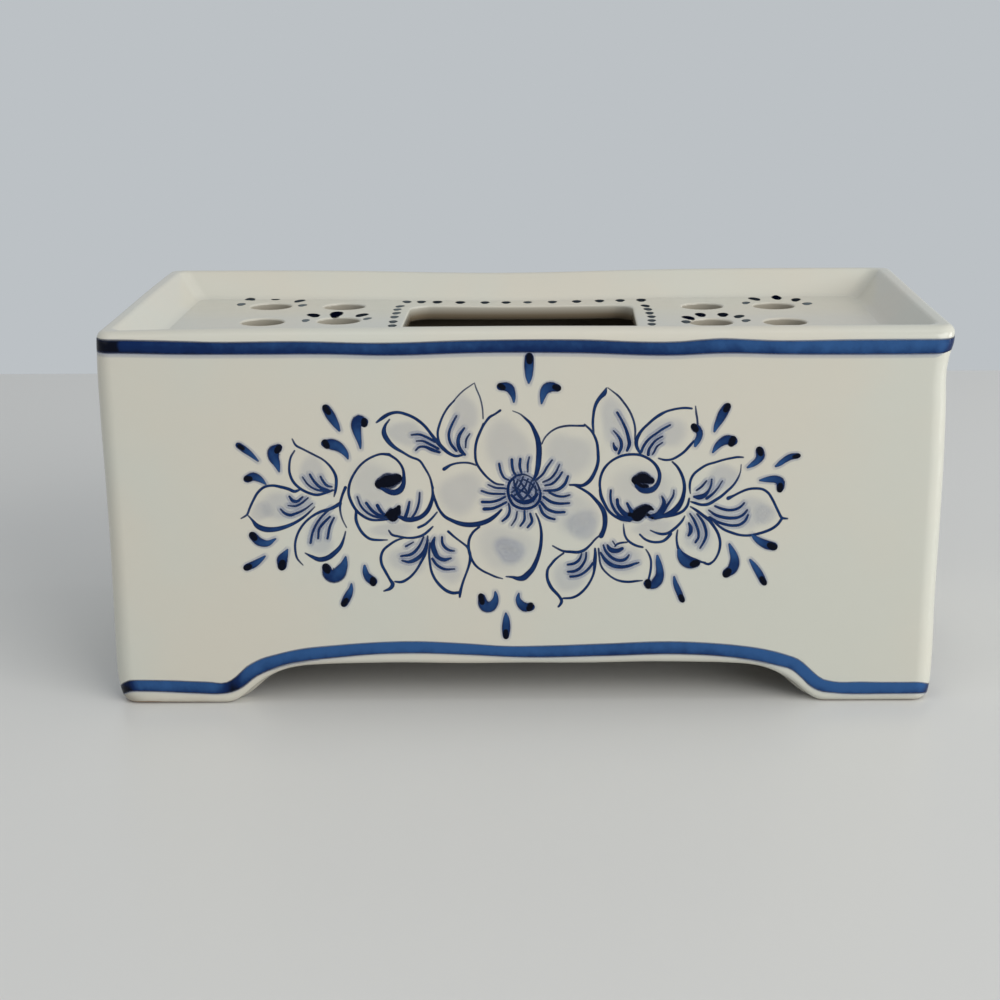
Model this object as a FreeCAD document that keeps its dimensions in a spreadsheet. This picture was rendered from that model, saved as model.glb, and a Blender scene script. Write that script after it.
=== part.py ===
import FreeCAD, Part
import Sketcher
import math
import os
from FreeCAD import Placement, Rotation, Vector

# Slab-built flower brick of glazed earthenware. Millimetres, +Z up, front face towards -Y,
# origin in the middle of the footprint, on the surface that the feet stand on.
sizes = {
    # the whole block
    "length": 162.0,
    "depth": 70.0,
    "height": 75.0,
    "wall": 4.0,
    "corner_round": 4.0,
    "rim_round": 3.2,
    "foot_round": 1.6,
    # the dished top, whose bevel falls from the crest of the rim to a flat panel
    "dish_drop": 5.2,
    "bevel_run": 5.2,
    "top_thick": 3.2,
    "edge_round": 0.7,
    # the middle opening, and the stem holes on each side of it
    "opening_length": 47.5,
    "opening_width": 33.0,
    "opening_round": 4.0,
    "hole_bore": 9.0,
    "hole_start": 38.4,
    "hole_pitch": 15.5,
    "row_pitch": 16.4,
    # the watertight floor, and the clay coils that seal the inside corners
    "floor_rise": 10.0,
    "floor_thick": 4.0,
    "coil_leg": 4.5,
    # the bracket feet, and the shaped gaps between them
    "gap_rise": 8.4,
    "front_foot": 23.0,
    "side_foot": 14.0,
    "toe_round": 4.0,
    "front_shoulder": 14.0,
    "side_shoulder": 8.0,
    "gap_slope": 41.0,
    # how far a cutter runs past the clay
    "cut_past": 1.0,
}
hole_columns = 2
hole_rows = 3

doc = FreeCAD.newDocument("flower_brick")
sheet = doc.addObject("Spreadsheet::Sheet", "sizes")
for row, (alias, number) in enumerate(sizes.items(), start=1):
    sheet.set(f"A{row}", alias)
    sheet.set(f"B{row}", str(number))
    sheet.setAlias(f"B{row}", alias)
doc.recompute()


def worth(formula):
    """The present value of a formula of the sheet's sizes."""
    return float(sheet.evalExpression(formula))


def bind(target, formulas):
    """Tie properties of an object to formulas of the sheet's sizes."""
    for name, formula in formulas.items():
        target.setExpression(name, formula)


def add_body(name):
    body = doc.addObject("PartDesign::Body", name)
    body.Label = name
    return body


def origin_plane(body, role):
    return next(item for item in body.Origin.OriginFeatures if item.Role == role)


def add_sketch(body, name, role, lift=None):
    """A sketch on one of the body's own planes, lifted off it by a formula."""
    sketch = body.newObject("Sketcher::SketchObject", name)
    sketch.AttachmentSupport = [(origin_plane(body, role), "")]
    sketch.MapMode = "FlatFace"
    if lift:
        sketch.setExpression("AttachmentOffset.Base.z", lift)
    return sketch


def constrain(sketch, *terms, name=None, formula=None):
    """Add a constraint, and tie a dimension to a formula under a name."""
    index = sketch.addConstraint(Sketcher.Constraint(*terms))
    if formula:
        sketch.renameConstraint(index, name)
        sketch.setExpression(f"Constraints.{name}", formula)


def draw_rectangle(sketch, length, width):
    """A rectangle centred on the sketch's origin."""
    half_x, half_y = worth(length) / 2, worth(width) / 2
    corners = [(-half_x, -half_y), (half_x, -half_y), (half_x, half_y), (-half_x, half_y)]
    for i in range(4):
        start, end = Vector(*corners[i]), Vector(*corners[(i + 1) % 4])
        sketch.addGeometry(Part.LineSegment(start, end))
    for i in range(4):
        constrain(sketch, "Coincident", i, 2, (i + 1) % 4, 1)
        constrain(sketch, "Vertical" if i % 2 else "Horizontal", i)
    constrain(sketch, "Symmetric", 0, 1, 2, 1, -1, 1)
    constrain(sketch, "DistanceX", 0, 1, 0, 2, half_x * 2, name="run", formula=length)
    constrain(sketch, "DistanceY", 1, 1, 1, 2, half_y * 2, name="rise", formula=width)


def draw_rounded_rectangle(sketch, length, width, corner):
    """A rectangle centred on the sketch's origin, each corner an arc tangent to its sides."""
    half_x, half_y, radius = worth(length) / 2, worth(width) / 2, worth(corner)
    signs = [(1, -1), (1, 1), (-1, 1), (-1, -1)]
    centres = [Vector(sx * (half_x - radius), sy * (half_y - radius)) for sx, sy in signs]
    normal = Vector(0, 0, 1)
    arcs = []
    for i, centre in enumerate(centres):
        first = (i - 1) * math.pi / 2
        circle = Part.Circle(centre, normal, radius)
        arcs.append(sketch.addGeometry(Part.ArcOfCircle(circle, first, first + math.pi / 2)))
    sides = []
    for i in range(4):
        turn = i * math.pi / 2
        reach = Vector(math.cos(turn), math.sin(turn)) * radius
        line = Part.LineSegment(centres[i] + reach, centres[(i + 1) % 4] + reach)
        sides.append(sketch.addGeometry(line))
    for i in range(4):
        constrain(sketch, "Tangent", arcs[i], 2, sides[i], 1)
        constrain(sketch, "Tangent", sides[i], 2, arcs[(i + 1) % 4], 1)
        if i:
            constrain(sketch, "Equal", arcs[0], arcs[i])
    constrain(sketch, "Vertical", sides[0])
    constrain(sketch, "Horizontal", sides[1])
    constrain(sketch, "Symmetric", arcs[0], 3, arcs[2], 3, -1, 1)
    constrain(sketch, "Radius", arcs[0], radius, name="corner", formula=corner)
    constrain(sketch, "DistanceX", sides[2], 1, sides[0], 1, half_x * 2, name="run", formula=length)
    constrain(sketch, "DistanceY", sides[3], 1, sides[1], 1, half_y * 2, name="rise", formula=width)


def draw_half_gap(sketch, reach, toe, shoulder):
    """Half of the gap between two feet, from just past the middle to the foot that starts at reach.

    From the ground it climbs by an arc, a slope and a shoulder arc to the level middle.
    """
    past, rise = worth("sizes.cut_past"), worth("sizes.gap_rise")
    base, slope = worth(reach), math.radians(worth("sizes.gap_slope"))
    toe_r, bend_r = worth(toe), worth(shoulder)
    toe_top = Vector(base - toe_r * math.sin(slope), toe_r * (1 - math.cos(slope)))
    bend_low = rise - bend_r * (1 - math.cos(slope))
    bend_foot = Vector(toe_top.x - (bend_low - toe_top.y) / math.tan(slope), bend_low)
    level_end = Vector(bend_foot.x - bend_r * math.sin(slope), rise)
    up, quarter = Vector(0, 0, 1), math.pi / 2
    toe_circle = Part.Circle(Vector(base, toe_r), up, toe_r)
    bend_circle = Part.Circle(Vector(level_end.x, rise - bend_r), up, bend_r)
    bottom, riser, toe_arc, slant, bend, level, middle = range(7)
    sketch.addGeometry([
        Part.LineSegment(Vector(-past, -past), Vector(base, -past)),
        Part.LineSegment(Vector(base, -past), Vector(base, 0)),
        Part.ArcOfCircle(toe_circle, 3 * quarter - slope, 3 * quarter),
        Part.LineSegment(toe_top, bend_foot),
        Part.ArcOfCircle(bend_circle, quarter - slope, quarter),
        Part.LineSegment(level_end, Vector(-past, rise)),
        Part.LineSegment(Vector(-past, rise), Vector(-past, -past)),
    ])
    for line in (bottom, level):
        constrain(sketch, "Horizontal", line)
    for line in (riser, middle):
        constrain(sketch, "Vertical", line)
    constrain(sketch, "Coincident", bottom, 2, riser, 1)
    constrain(sketch, "Coincident", riser, 2, toe_arc, 2)
    constrain(sketch, "Tangent", toe_arc, 1, slant, 1)
    constrain(sketch, "Tangent", slant, 2, bend, 1)
    constrain(sketch, "Tangent", bend, 2, level, 1)
    constrain(sketch, "Coincident", level, 2, middle, 1)
    constrain(sketch, "Coincident", middle, 2, bottom, 1)
    constrain(sketch, "PointOnObject", riser, 2, -1)
    constrain(sketch, "Vertical", toe_arc, 2, toe_arc, 3)
    constrain(sketch, "Radius", toe_arc, toe_r, name="toe", formula=toe)
    constrain(sketch, "Radius", bend, bend_r, name="shoulder", formula=shoulder)
    constrain(sketch, "Angle", slant, math.pi - slope, name="slope", formula="180 - sizes.gap_slope")
    constrain(sketch, "DistanceY", -1, 1, level, 1, rise, name="rise", formula="sizes.gap_rise")
    constrain(sketch, "DistanceX", -1, 1, riser, 2, base, name="reach", formula=reach)
    constrain(sketch, "DistanceY", bottom, 1, -1, 1, past, name="below", formula="sizes.cut_past")
    constrain(sketch, "DistanceX", bottom, 1, -1, 1, past, name="behind", formula="sizes.cut_past")


def cut_through(body, name, sketch):
    """A pocket right through the body on both sides of its sketch."""
    pocket = body.newObject("PartDesign::Pocket", name)
    pocket.Profile = sketch
    pocket.Type = "ThroughAll"
    pocket.SideType = "Symmetric"
    return pocket


def mirror_feature(body, name, feature, role):
    mirrored = body.newObject("PartDesign::Mirrored", name)
    mirrored.Originals = [feature]
    mirrored.MirrorPlane = (origin_plane(body, role), [""])
    body.Tip = mirrored
    return mirrored


def round_edges(body, name, base, wanted, formula):
    """A fillet on every edge of the base feature that the test picks out."""
    doc.recompute()
    edges = enumerate(base.Shape.Edges, start=1)
    fillet = body.newObject("PartDesign::Fillet", name)
    fillet.Base = (base, [f"Edge{number}" for number, edge in edges if wanted(edge)])
    fillet.setExpression("Radius", formula)
    return fillet


def lies_at(height):
    """A test for edges that lie flat at a height."""
    level = worth(height)
    return lambda edge: all(abs(vertex.Z - level) < FLAT for vertex in edge.Vertexes)


FLAT = 0.001
INNER_LENGTH = "sizes.length - 2 * sizes.wall"
INNER_DEPTH = "sizes.depth - 2 * sizes.wall"
PANEL_TOP = "sizes.height - sizes.dish_drop"
PANEL_UNDER = f"{PANEL_TOP} - sizes.top_thick"
FLOOR_TOP = "sizes.floor_rise + sizes.floor_thick"


def build_wall_ring():
    """The four walls as one ring, before it is divided along its mitres."""
    body = add_body("wall_ring")
    outline = add_sketch(body, "ring_outline", "XY_Plane")
    draw_rounded_rectangle(outline, "sizes.length", "sizes.depth", "sizes.corner_round")
    block = body.newObject("PartDesign::Pad", "ring_block")
    block.Profile = outline
    block.setExpression("Length", "sizes.height")
    rim = round_edges(body, "ring_rim", block, lies_at("sizes.height"),
                      "min(sizes.rim_round; 0.95 * sizes.corner_round)")
    round_edges(body, "ring_foot", rim, lies_at("0"), "min(sizes.foot_round; 0.95 * sizes.corner_round)")
    hollow = add_sketch(body, "ring_hollow", "XY_Plane")
    draw_rectangle(hollow, INNER_LENGTH, INNER_DEPTH)
    cut_through(body, "ring_cavity", hollow)
    gaps = [("front", "XZ_Plane", "YZ_Plane", "length"), ("side", "YZ_Plane", "XZ_Plane", "depth")]
    for face, plane, mirror, span in gaps:
        profile = add_sketch(body, f"{face}_gap_profile", plane)
        reach = f"sizes.{span} / 2 - sizes.{face}_foot"
        draw_half_gap(profile, reach, "sizes.toe_round", f"sizes.{face}_shoulder")
        half = cut_through(body, f"{face}_half_gap", profile)
        mirror_feature(body, f"{face}_gap", half, mirror)
    return body


def build_dish():
    """The hollow over the sunken panel: a frustum that widens up to the crest of the rim and past it."""
    dish = doc.addObject("Part::Wedge", "dish")
    grown = "sizes.cut_past * sizes.bevel_run / sizes.dish_drop"
    for side, span in (("X", "sizes.length"), ("Z", "sizes.depth")):
        panel = f"{span} / 2 - sizes.rim_round - sizes.bevel_run"
        mouth = f"{span} / 2 - sizes.rim_round + {grown}"
        bind(dish, {f"{side}min": f"-({panel})", f"{side}max": panel,
                    f"{side}2min": f"-({mouth})", f"{side}2max": mouth})
    bind(dish, {"Ymin": PANEL_TOP, "Ymax": "sizes.height + sizes.cut_past"})
    dish.Placement = Placement(Vector(0, 0, 0), Rotation(Vector(1, 0, 0), 90))
    return dish


def cut_away(name, base, tool):
    cut = doc.addObject("Part::Cut", name)
    cut.Label = name
    cut.Base, cut.Tool = base, tool
    return cut


def build_wall(name, ring, along, across, turn):
    """One wall of the ring, taken out by a wedge whose ends run along the 45 degree mitres."""
    sector = doc.addObject("Part::Wedge", f"{name}_sector")
    past, reach = "sizes.cut_past", "3 * sizes.wall"
    outer = f"sizes.{along} / 2 + {past}"
    inner = f"sizes.{along} / 2 - {reach}"
    bind(sector, {"Xmin": f"-({outer})", "Xmax": outer, "X2min": f"-({inner})", "X2max": inner,
                  "Ymin": f"-(sizes.{across} / 2 + {past})", "Ymax": f"-(sizes.{across} / 2 - {reach})",
                  "Zmin": f"-{past}", "Zmax": f"sizes.height + {past}",
                  "Z2min": f"-{past}", "Z2max": f"sizes.height + {past}"})
    sector.Placement = Placement(Vector(0, 0, 0), Rotation(Vector(0, 0, 1), turn))
    wall = doc.addObject("Part::Common", name)
    wall.Label = name
    wall.Base, wall.Tool = ring, sector
    return wall


def add_block(name, x, y, z, length, width, height):
    """A box from its lowest corner and its three sides, all formulas."""
    block = doc.addObject("Part::Box", name)
    bind(block, {"Length": length, "Width": width, "Height": height,
                 "Placement.Base.x": x, "Placement.Base.y": y, "Placement.Base.z": z})
    return block


def build_rim_coil(dish):
    """The clay that slopes from the walls down to the panel, all the way round."""
    block = add_block("rim_coil_block", f"-({INNER_LENGTH}) / 2", f"-({INNER_DEPTH}) / 2", PANEL_TOP,
                      INNER_LENGTH, INNER_DEPTH, "sizes.dish_drop")
    return cut_away("rim_coil", block, dish)


def build_top_plate():
    """The pierced panel that is let in between the walls."""
    body = add_body("top_plate")
    outline = add_sketch(body, "panel_outline", "XY_Plane", PANEL_UNDER)
    draw_rectangle(outline, INNER_LENGTH, INNER_DEPTH)
    panel = body.newObject("PartDesign::Pad", "panel")
    panel.Profile = outline
    panel.setExpression("Length", "sizes.top_thick")
    mouth = add_sketch(body, "opening_outline", "XY_Plane", PANEL_UNDER)
    draw_rounded_rectangle(mouth, "sizes.opening_length", "sizes.opening_width", "sizes.opening_round")
    opening = cut_through(body, "opening", mouth)
    holes = add_sketch(body, "stem_hole_circles", "XY_Plane", PANEL_UNDER)
    for column in range(hole_columns):
        for row in range(hole_rows):
            x = f"sizes.hole_start + {column} * sizes.hole_pitch"
            y = f"{row - (hole_rows - 1) / 2} * sizes.row_pitch"
            radius = worth("sizes.hole_bore") / 2
            circle = Part.Circle(Vector(worth(x), worth(y)), Vector(0, 0, 1), radius)
            index = holes.addGeometry(circle)
            mark = f"_{column}_{row}"
            constrain(holes, "DistanceX", -1, 1, index, 3, worth(x), name="x" + mark, formula=x)
            constrain(holes, "Radius", index, radius, name="bore" + mark, formula="sizes.hole_bore / 2")
            if worth(y):
                constrain(holes, "DistanceY", -1, 1, index, 3, worth(y), name="y" + mark, formula=y)
            else:
                constrain(holes, "PointOnObject", index, 3, -1)
    right_holes = cut_through(body, "right_holes", holes)
    all_holes = mirror_feature(body, "stem_holes", right_holes, "YZ_Plane")
    half_x, half_y = worth(INNER_LENGTH) / 2 - FLAT, worth(INNER_DEPTH) / 2 - FLAT
    flat = [lies_at(PANEL_TOP), lies_at(PANEL_UNDER)]

    def around_a_hole(edge):
        inside = all(abs(v.X) < half_x and abs(v.Y) < half_y for v in edge.Vertexes)
        return inside and any(test(edge) for test in flat)

    round_edges(body, "soft_edges", all_holes, around_a_hole, "sizes.edge_round")
    return body


def build_floor_plate():
    return add_block("floor_plate", f"-({INNER_LENGTH}) / 2", f"-({INNER_DEPTH}) / 2",
                     "sizes.floor_rise", INNER_LENGTH, INNER_DEPTH, "sizes.floor_thick")


def build_floor_coil():
    """A bevelled run of clay round the floor, against all four walls."""
    block = add_block("floor_coil_block", f"-({INNER_LENGTH}) / 2", f"-({INNER_DEPTH}) / 2",
                      FLOOR_TOP, INNER_LENGTH, INNER_DEPTH, "sizes.coil_leg")
    basin = doc.addObject("Part::Wedge", "floor_coil_basin")
    for side, span in (("X", INNER_LENGTH), ("Z", INNER_DEPTH)):
        low = f"({span}) / 2 - sizes.coil_leg - sizes.cut_past"
        high = f"({span}) / 2 + sizes.cut_past"
        bind(basin, {f"{side}min": f"-({low})", f"{side}max": low,
                     f"{side}2min": f"-({high})", f"{side}2max": high})
    bind(basin, {"Ymin": f"{FLOOR_TOP} - sizes.cut_past",
                 "Ymax": f"{FLOOR_TOP} + sizes.coil_leg + sizes.cut_past"})
    basin.Placement = Placement(Vector(0, 0, 0), Rotation(Vector(1, 0, 0), 90))
    return cut_away("floor_coil", block, basin)


def build_corner_coil(name, side_x, side_y, floor_coil):
    """A hollow-faced coil up one inside corner, from the floor to the panel.

    Its face is part of a cylinder whose axis stands two legs from each wall.
    """
    corner_x, corner_y = f"({INNER_LENGTH}) / 2", f"({INNER_DEPTH}) / 2"
    low_x = f"{corner_x} - sizes.coil_leg" if side_x > 0 else f"-({corner_x})"
    low_y = f"{corner_y} - sizes.coil_leg" if side_y > 0 else f"-({corner_y})"
    tall = f"{PANEL_UNDER} - ({FLOOR_TOP})"
    block = add_block(f"{name}_block", low_x, low_y, FLOOR_TOP, "sizes.coil_leg", "sizes.coil_leg", tall)
    scoop = doc.addObject("Part::Cylinder", f"{name}_scoop")
    bind(scoop, {"Radius": "sqrt(5) * sizes.coil_leg", "Height": f"{tall} + 2 * sizes.cut_past",
                 "Placement.Base.x": f"{side_x} * ({corner_x} - 2 * sizes.coil_leg)",
                 "Placement.Base.y": f"{side_y} * ({corner_y} - 2 * sizes.coil_leg)",
                 "Placement.Base.z": f"{FLOOR_TOP} - sizes.cut_past"})
    face = cut_away(f"{name}_face", block, scoop)
    return cut_away(name, face, floor_coil)


def build_brick():
    """Every piece of clay, by the name of its file."""
    dish = build_dish()
    ring = cut_away("dished_ring", build_wall_ring(), dish)
    floor_coil = build_floor_coil()
    pieces = [
        build_wall("front_wall", ring, "length", "depth", 0),
        build_wall("right_wall", ring, "depth", "length", 90),
        build_wall("back_wall", ring, "length", "depth", 180),
        build_wall("left_wall", ring, "depth", "length", 270),
        build_top_plate(),
        build_rim_coil(dish),
        build_floor_plate(),
        floor_coil,
    ]
    for depth_word, side_y in (("front", -1), ("back", 1)):
        for side_word, side_x in (("left", -1), ("right", 1)):
            name = f"{depth_word}_{side_word}_coil"
            pieces.append(build_corner_coil(name, side_x, side_y, floor_coil))
    return pieces


pieces = build_brick()
doc.recompute()
for item in doc.Objects:
    if "Invalid" in item.State or "Error" in item.State:
        raise RuntimeError(f"{item.Label} did not build: {item.State}")
for piece in pieces:
    if piece.Shape.isNull() or not piece.Shape.isValid() or len(piece.Shape.Solids) != 1:
        raise RuntimeError(f"{piece.Label} is not one sound solid")
os.makedirs("parts", exist_ok=True)
for piece in pieces:
    piece.Shape.exportStep(f"parts/{piece.Label}.step")
    box = piece.Shape.BoundBox
    print(f"{piece.Label}: {piece.Shape.Volume:.0f} mm3, {box.XLength:.1f} x {box.YLength:.1f} x "
          f"{box.ZLength:.1f} mm, z {box.ZMin:.1f} to {box.ZMax:.1f}")
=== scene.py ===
import math
import bpy
import numpy as np
from mathutils import Matrix, Vector


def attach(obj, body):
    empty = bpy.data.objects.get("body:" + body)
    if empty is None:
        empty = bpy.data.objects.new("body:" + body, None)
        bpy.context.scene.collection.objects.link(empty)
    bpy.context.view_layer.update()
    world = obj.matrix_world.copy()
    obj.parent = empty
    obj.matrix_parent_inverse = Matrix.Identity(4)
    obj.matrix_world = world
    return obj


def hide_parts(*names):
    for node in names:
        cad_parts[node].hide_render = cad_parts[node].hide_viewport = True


# A glazed earthenware flower brick with cobalt brushwork. The shapes are worked out in millimetres,
# +Z up, front face towards -Y, and turned into metres when a mesh is made.

mm = 0.001
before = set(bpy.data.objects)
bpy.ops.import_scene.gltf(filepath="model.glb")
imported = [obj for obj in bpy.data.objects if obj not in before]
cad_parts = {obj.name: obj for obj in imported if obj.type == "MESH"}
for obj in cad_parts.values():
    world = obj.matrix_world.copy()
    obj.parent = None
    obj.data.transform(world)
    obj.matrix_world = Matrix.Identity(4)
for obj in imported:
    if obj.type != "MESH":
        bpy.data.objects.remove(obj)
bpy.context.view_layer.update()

block = dict(halfLength=81.0, halfDepth=35.0, height=75.0, cornerRound=4.0, innerRound=2.6, wall=4.0)
# How far each end stands in from the block's full length, as (height, millimetres), the small waves of the faces and
# rim, and the drop of the front left corner and sag of the back rim, each with its middle and spread.
hand = dict(least=0.08, swell=0.1, rimWave=0.06, leanWave=0.08,
            cornerDrop=0.6, cornerSpread=(22, 30), backSag=0.75, sagAt=-7, sagSpread=34,
            left=[(0, 1.2), (2.5, 0.5), (5, 0.12), (8, 0.08), (15, 0.25), (22, 0.45), (30, 0.7), (40, 0.85), (60, 0.95),
                  (68, 1.1), (75, 1.5)],
            right=[(0, 1.1), (3, 0.6), (8, 0.45), (20, 0.65), (35, 0.6), (50, 0.65), (60, 0.9), (67, 1.1), (69.5, 0.7),
                   (71.5, 0.15), (75, 0.08)])


def handMade(points):
    # Moves the ends and faces inward and lets the rim sag: x(1 - a(y, z)), y(1 - b(x, z)), z(1 - c(x, y)).
    # The lean of the ends fades towards the middle with the tenth power of x.
    x, y, z = points[..., 0], points[..., 1], points[..., 2]
    length, depth, tall = block["halfLength"], block["halfDepth"], block["height"]
    s, u = y / depth, z / tall
    lean = np.where(x < 0, throughPoints(hand["left"], z), throughPoints(hand["right"], z))
    lean = lean + hand["leanWave"] * (1 + np.sin(y / 13 + 2.4 * u))
    a = np.maximum(hand["least"], lean * np.abs(x / length) ** 10)
    wave = 1 + 0.7 * np.sin(x / 21 + 1.1 + 1.7 * u + 0.9 * s) + 0.3 * np.sin(x / 9 + 2.2 * s)
    b = hand["least"] + hand["swell"] * wave * (0.3 + 0.7 * u)
    wideX, wideY = hand["cornerSpread"]
    front = hand["cornerDrop"] * np.exp(-((x + length) / wideX) ** 2 - ((y + depth) / wideY) ** 2)
    back = hand["backSag"] * np.exp(-((x - hand["sagAt"]) / hand["sagSpread"]) ** 2) * np.clip((y + 10) / 40, 0, 1) ** 2
    c = front + back + hand["rimWave"] * (1 + np.sin(x / 11 + 2 * s)) * (1 - np.exp(-((x - 60) / 30) ** 2))
    return np.stack([x * (1 - a / length), y * (1 - b / depth), z * (1 - c / tall)], axis=-1)


def ramp01(value, low, high):
    # Smooth step: t^2 (3 - 2t), t from 0 at low to 1 at high.
    t = np.clip((value - low) / (high - low), 0, 1)
    return t * t * (3 - 2 * t)


def throughPoints(table, x):
    # A smooth curve through a table's points: a cubic in each span, with the slopes of its neighbours' mean.
    px, py = np.array(table, float).T
    slope = np.gradient(py, px)
    k = np.clip(np.searchsorted(px, x, "right") - 1, 0, len(px) - 2)
    h = px[k + 1] - px[k]
    t = np.clip((x - px[k]) / h, 0, 1)
    return ((1 + 2 * t) * (1 - t) ** 2 * py[k] + t * (1 - t) ** 2 * h * slope[k]
            + t * t * (3 - 2 * t) * py[k + 1] + t * t * (t - 1) * h * slope[k + 1])


def gridFaces(rows, columns, loopRows=False, loopColumns=False):
    # Quads between neighbouring points of a grid whose point (i, j) has the number i * columns + j.
    i, j = np.meshgrid(np.arange(rows - (not loopRows)), np.arange(columns - (not loopColumns)), indexing="ij")
    i, j = i.ravel(), j.ravel()
    k, l = (i + 1) % rows, (j + 1) % columns
    return np.stack([i * columns + j, i * columns + l, k * columns + l, k * columns + j], axis=1)


def joined(cells):
    # Several patches as one: points, faces numbered on from patch to patch, and attribute rows.
    offsets = np.cumsum([0] + [len(points) for points, faces, values in cells[:-1]])
    return (np.concatenate([points for points, faces, values in cells]),
            np.concatenate([faces + offset for (points, faces, values), offset in zip(cells, offsets)]),
            np.concatenate([values for points, faces, values in cells]))


def welded(points, faces):
    # Joins points that lie within a micrometre of each other, and drops faces left without an area.
    near = np.round(points[:, :3] * 1000).astype(np.int64)
    keys, first, new = np.unique(near, axis=0, return_index=True, return_inverse=True)
    faces = new.ravel()[faces]
    whole = (faces[:, 0] != faces[:, 2]) & (faces[:, 1] != faces[:, 3])
    return points[first], faces[whole]


def addPiece(name, points, faces, material, attribute, values):
    # A smooth mesh object of quads, in metres, with one point attribute. Faces are turned outward by the volume's sign.
    a, b, c, d = np.asarray(points)[faces].transpose(1, 0, 2)
    if np.sum(np.cross(a, b) * c) + np.sum(np.cross(a, c) * d) < 0:
        faces = faces[:, ::-1]
    mesh = bpy.data.meshes.new(name)
    mesh.vertices.add(len(points))
    mesh.vertices.foreach_set("co", (np.asarray(points) * mm).ravel())
    mesh.loops.add(faces.size)
    mesh.loops.foreach_set("vertex_index", faces.ravel().astype(np.int32))
    mesh.polygons.add(len(faces))
    mesh.polygons.foreach_set("loop_start", np.arange(len(faces), dtype=np.int32) * 4)
    mesh.polygons.foreach_set("use_smooth", np.ones(len(faces), dtype=bool))
    mesh.update(calc_edges=True)
    mesh.validate()
    layer = mesh.attributes.new(attribute, "FLOAT_VECTOR", "POINT")
    layer.data.foreach_set("vector", np.asarray(values, dtype=np.float32).ravel())
    thing = bpy.data.objects.new(name, mesh)
    bpy.context.collection.objects.link(thing)
    mesh.materials.append(material)
    return thing


class Wire:
    # A value in a node tree. Arithmetic on wires adds Math nodes.
    def __init__(self, tree, socket):
        self.tree, self.socket = tree, socket

    def math(self, operation, *others):
        node = self.tree.nodes.new("ShaderNodeMath")
        node.operation = operation
        for slot, value in zip(node.inputs, (self, *others)):
            plug(self.tree, slot, value)
        return Wire(self.tree, node.outputs[0])

    def __add__(self, other): return self.math("ADD", other)
    def __radd__(self, other): return self.math("ADD", other)
    def __sub__(self, other): return self.math("SUBTRACT", other)
    def __rsub__(self, other): return Wire.flat(self.tree, other).math("SUBTRACT", self)
    def __mul__(self, other): return self.math("MULTIPLY", other)
    def __rmul__(self, other): return self.math("MULTIPLY", other)
    def __truediv__(self, other): return self.math("DIVIDE", other)
    def __rtruediv__(self, other): return Wire.flat(self.tree, other).math("DIVIDE", self)
    def __pow__(self, other): return self.math("POWER", other)

    @staticmethod
    def flat(tree, value):
        node = tree.nodes.new("ShaderNodeValue")
        node.outputs[0].default_value = value
        return Wire(tree, node.outputs[0])

    def step(self, low, high):
        # Smooth step between low and high.
        return addNode(self.tree, "ShaderNodeMapRange", dict(interpolation_type="SMOOTHSTEP"),
                       {"Value": self, "From Min": low, "From Max": high})


def plug(tree, slot, value):
    # A link if the value is a wire, or else the slot's own value.
    if isinstance(value, Wire):
        tree.links.new(value.socket, slot)
    elif isinstance(value, (tuple, list)) and len(value) == 3 and slot.type == "RGBA":
        slot.default_value = (*value, 1)
    else:
        slot.default_value = value


def addNode(tree, kind, settings=None, inputs=None, output=0):
    # One node with its settings and inputs, as a wire from one of its outputs.
    node = tree.nodes.new(kind)
    for key, value in (settings or {}).items():
        setattr(node, key, value)
    for key, value in (inputs or {}).items():
        plug(tree, node.inputs[key], value)
    return Wire(tree, node.outputs[output])


def mixed(tree, factor, a, b):
    # Colour a (1 - factor) + b factor.
    return addNode(tree, "ShaderNodeMix", dict(data_type="RGBA"), {0: factor, 6: a, 7: b}, 2)


def noise(tree, place, scale, detail=2.0, rough=0.5):
    # Patches from 0 to 1, about 0.5.
    return addNode(tree, "ShaderNodeTexNoise", None,
                   {"Vector": place, "Scale": scale, "Detail": detail, "Roughness": rough})


def channels(tree, name):
    # The three numbers of a point attribute.
    parts = tree.nodes.new("ShaderNodeSeparateXYZ")
    plug(tree, parts.inputs[0], addNode(tree, "ShaderNodeAttribute", dict(attribute_name=name), None, 1))
    return [Wire(tree, parts.outputs[k]) for k in range(3)]


def newMaterial(name):
    # An empty material, its tree and its Object coordinates.
    material = bpy.data.materials.new(name)
    material.use_nodes = True
    tree = material.node_tree
    tree.nodes.clear()
    return material, tree, addNode(tree, "ShaderNodeTexCoord", None, None, 3)


def finishMaterial(tree, inputs):
    # One principled surface with these inputs, and the material's output.
    surface = addNode(tree, "ShaderNodeBsdfPrincipled", None, inputs)
    end = tree.nodes.new("ShaderNodeOutputMaterial")
    tree.links.new(surface.socket, end.inputs["Surface"])


def srgb(r, g, b):
    # Display values from 0 to 255 to linear ones.
    return tuple(((v / 255 + 0.055) / 1.055) ** 2.4 if v > 10 else v / 255 / 12.92 for v in (r, g, b))


# The brown-grey colour is a painted shade, used in hollows, on undersides and over the inner pieces.
glaze = dict(cream=srgb(200, 198, 186), warm=srgb(202, 196, 183), cool=srgb(194, 197, 189), thin=srgb(186, 176, 160),
             clay=srgb(146, 124, 104), inside=srgb(112, 100, 82), driftScale=24.0, fineScale=260.0, bumpScale=60.0,
             rough=0.16, bareRough=0.6, coat=0.12, specular=0.28, shadeInside=0.75)


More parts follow.
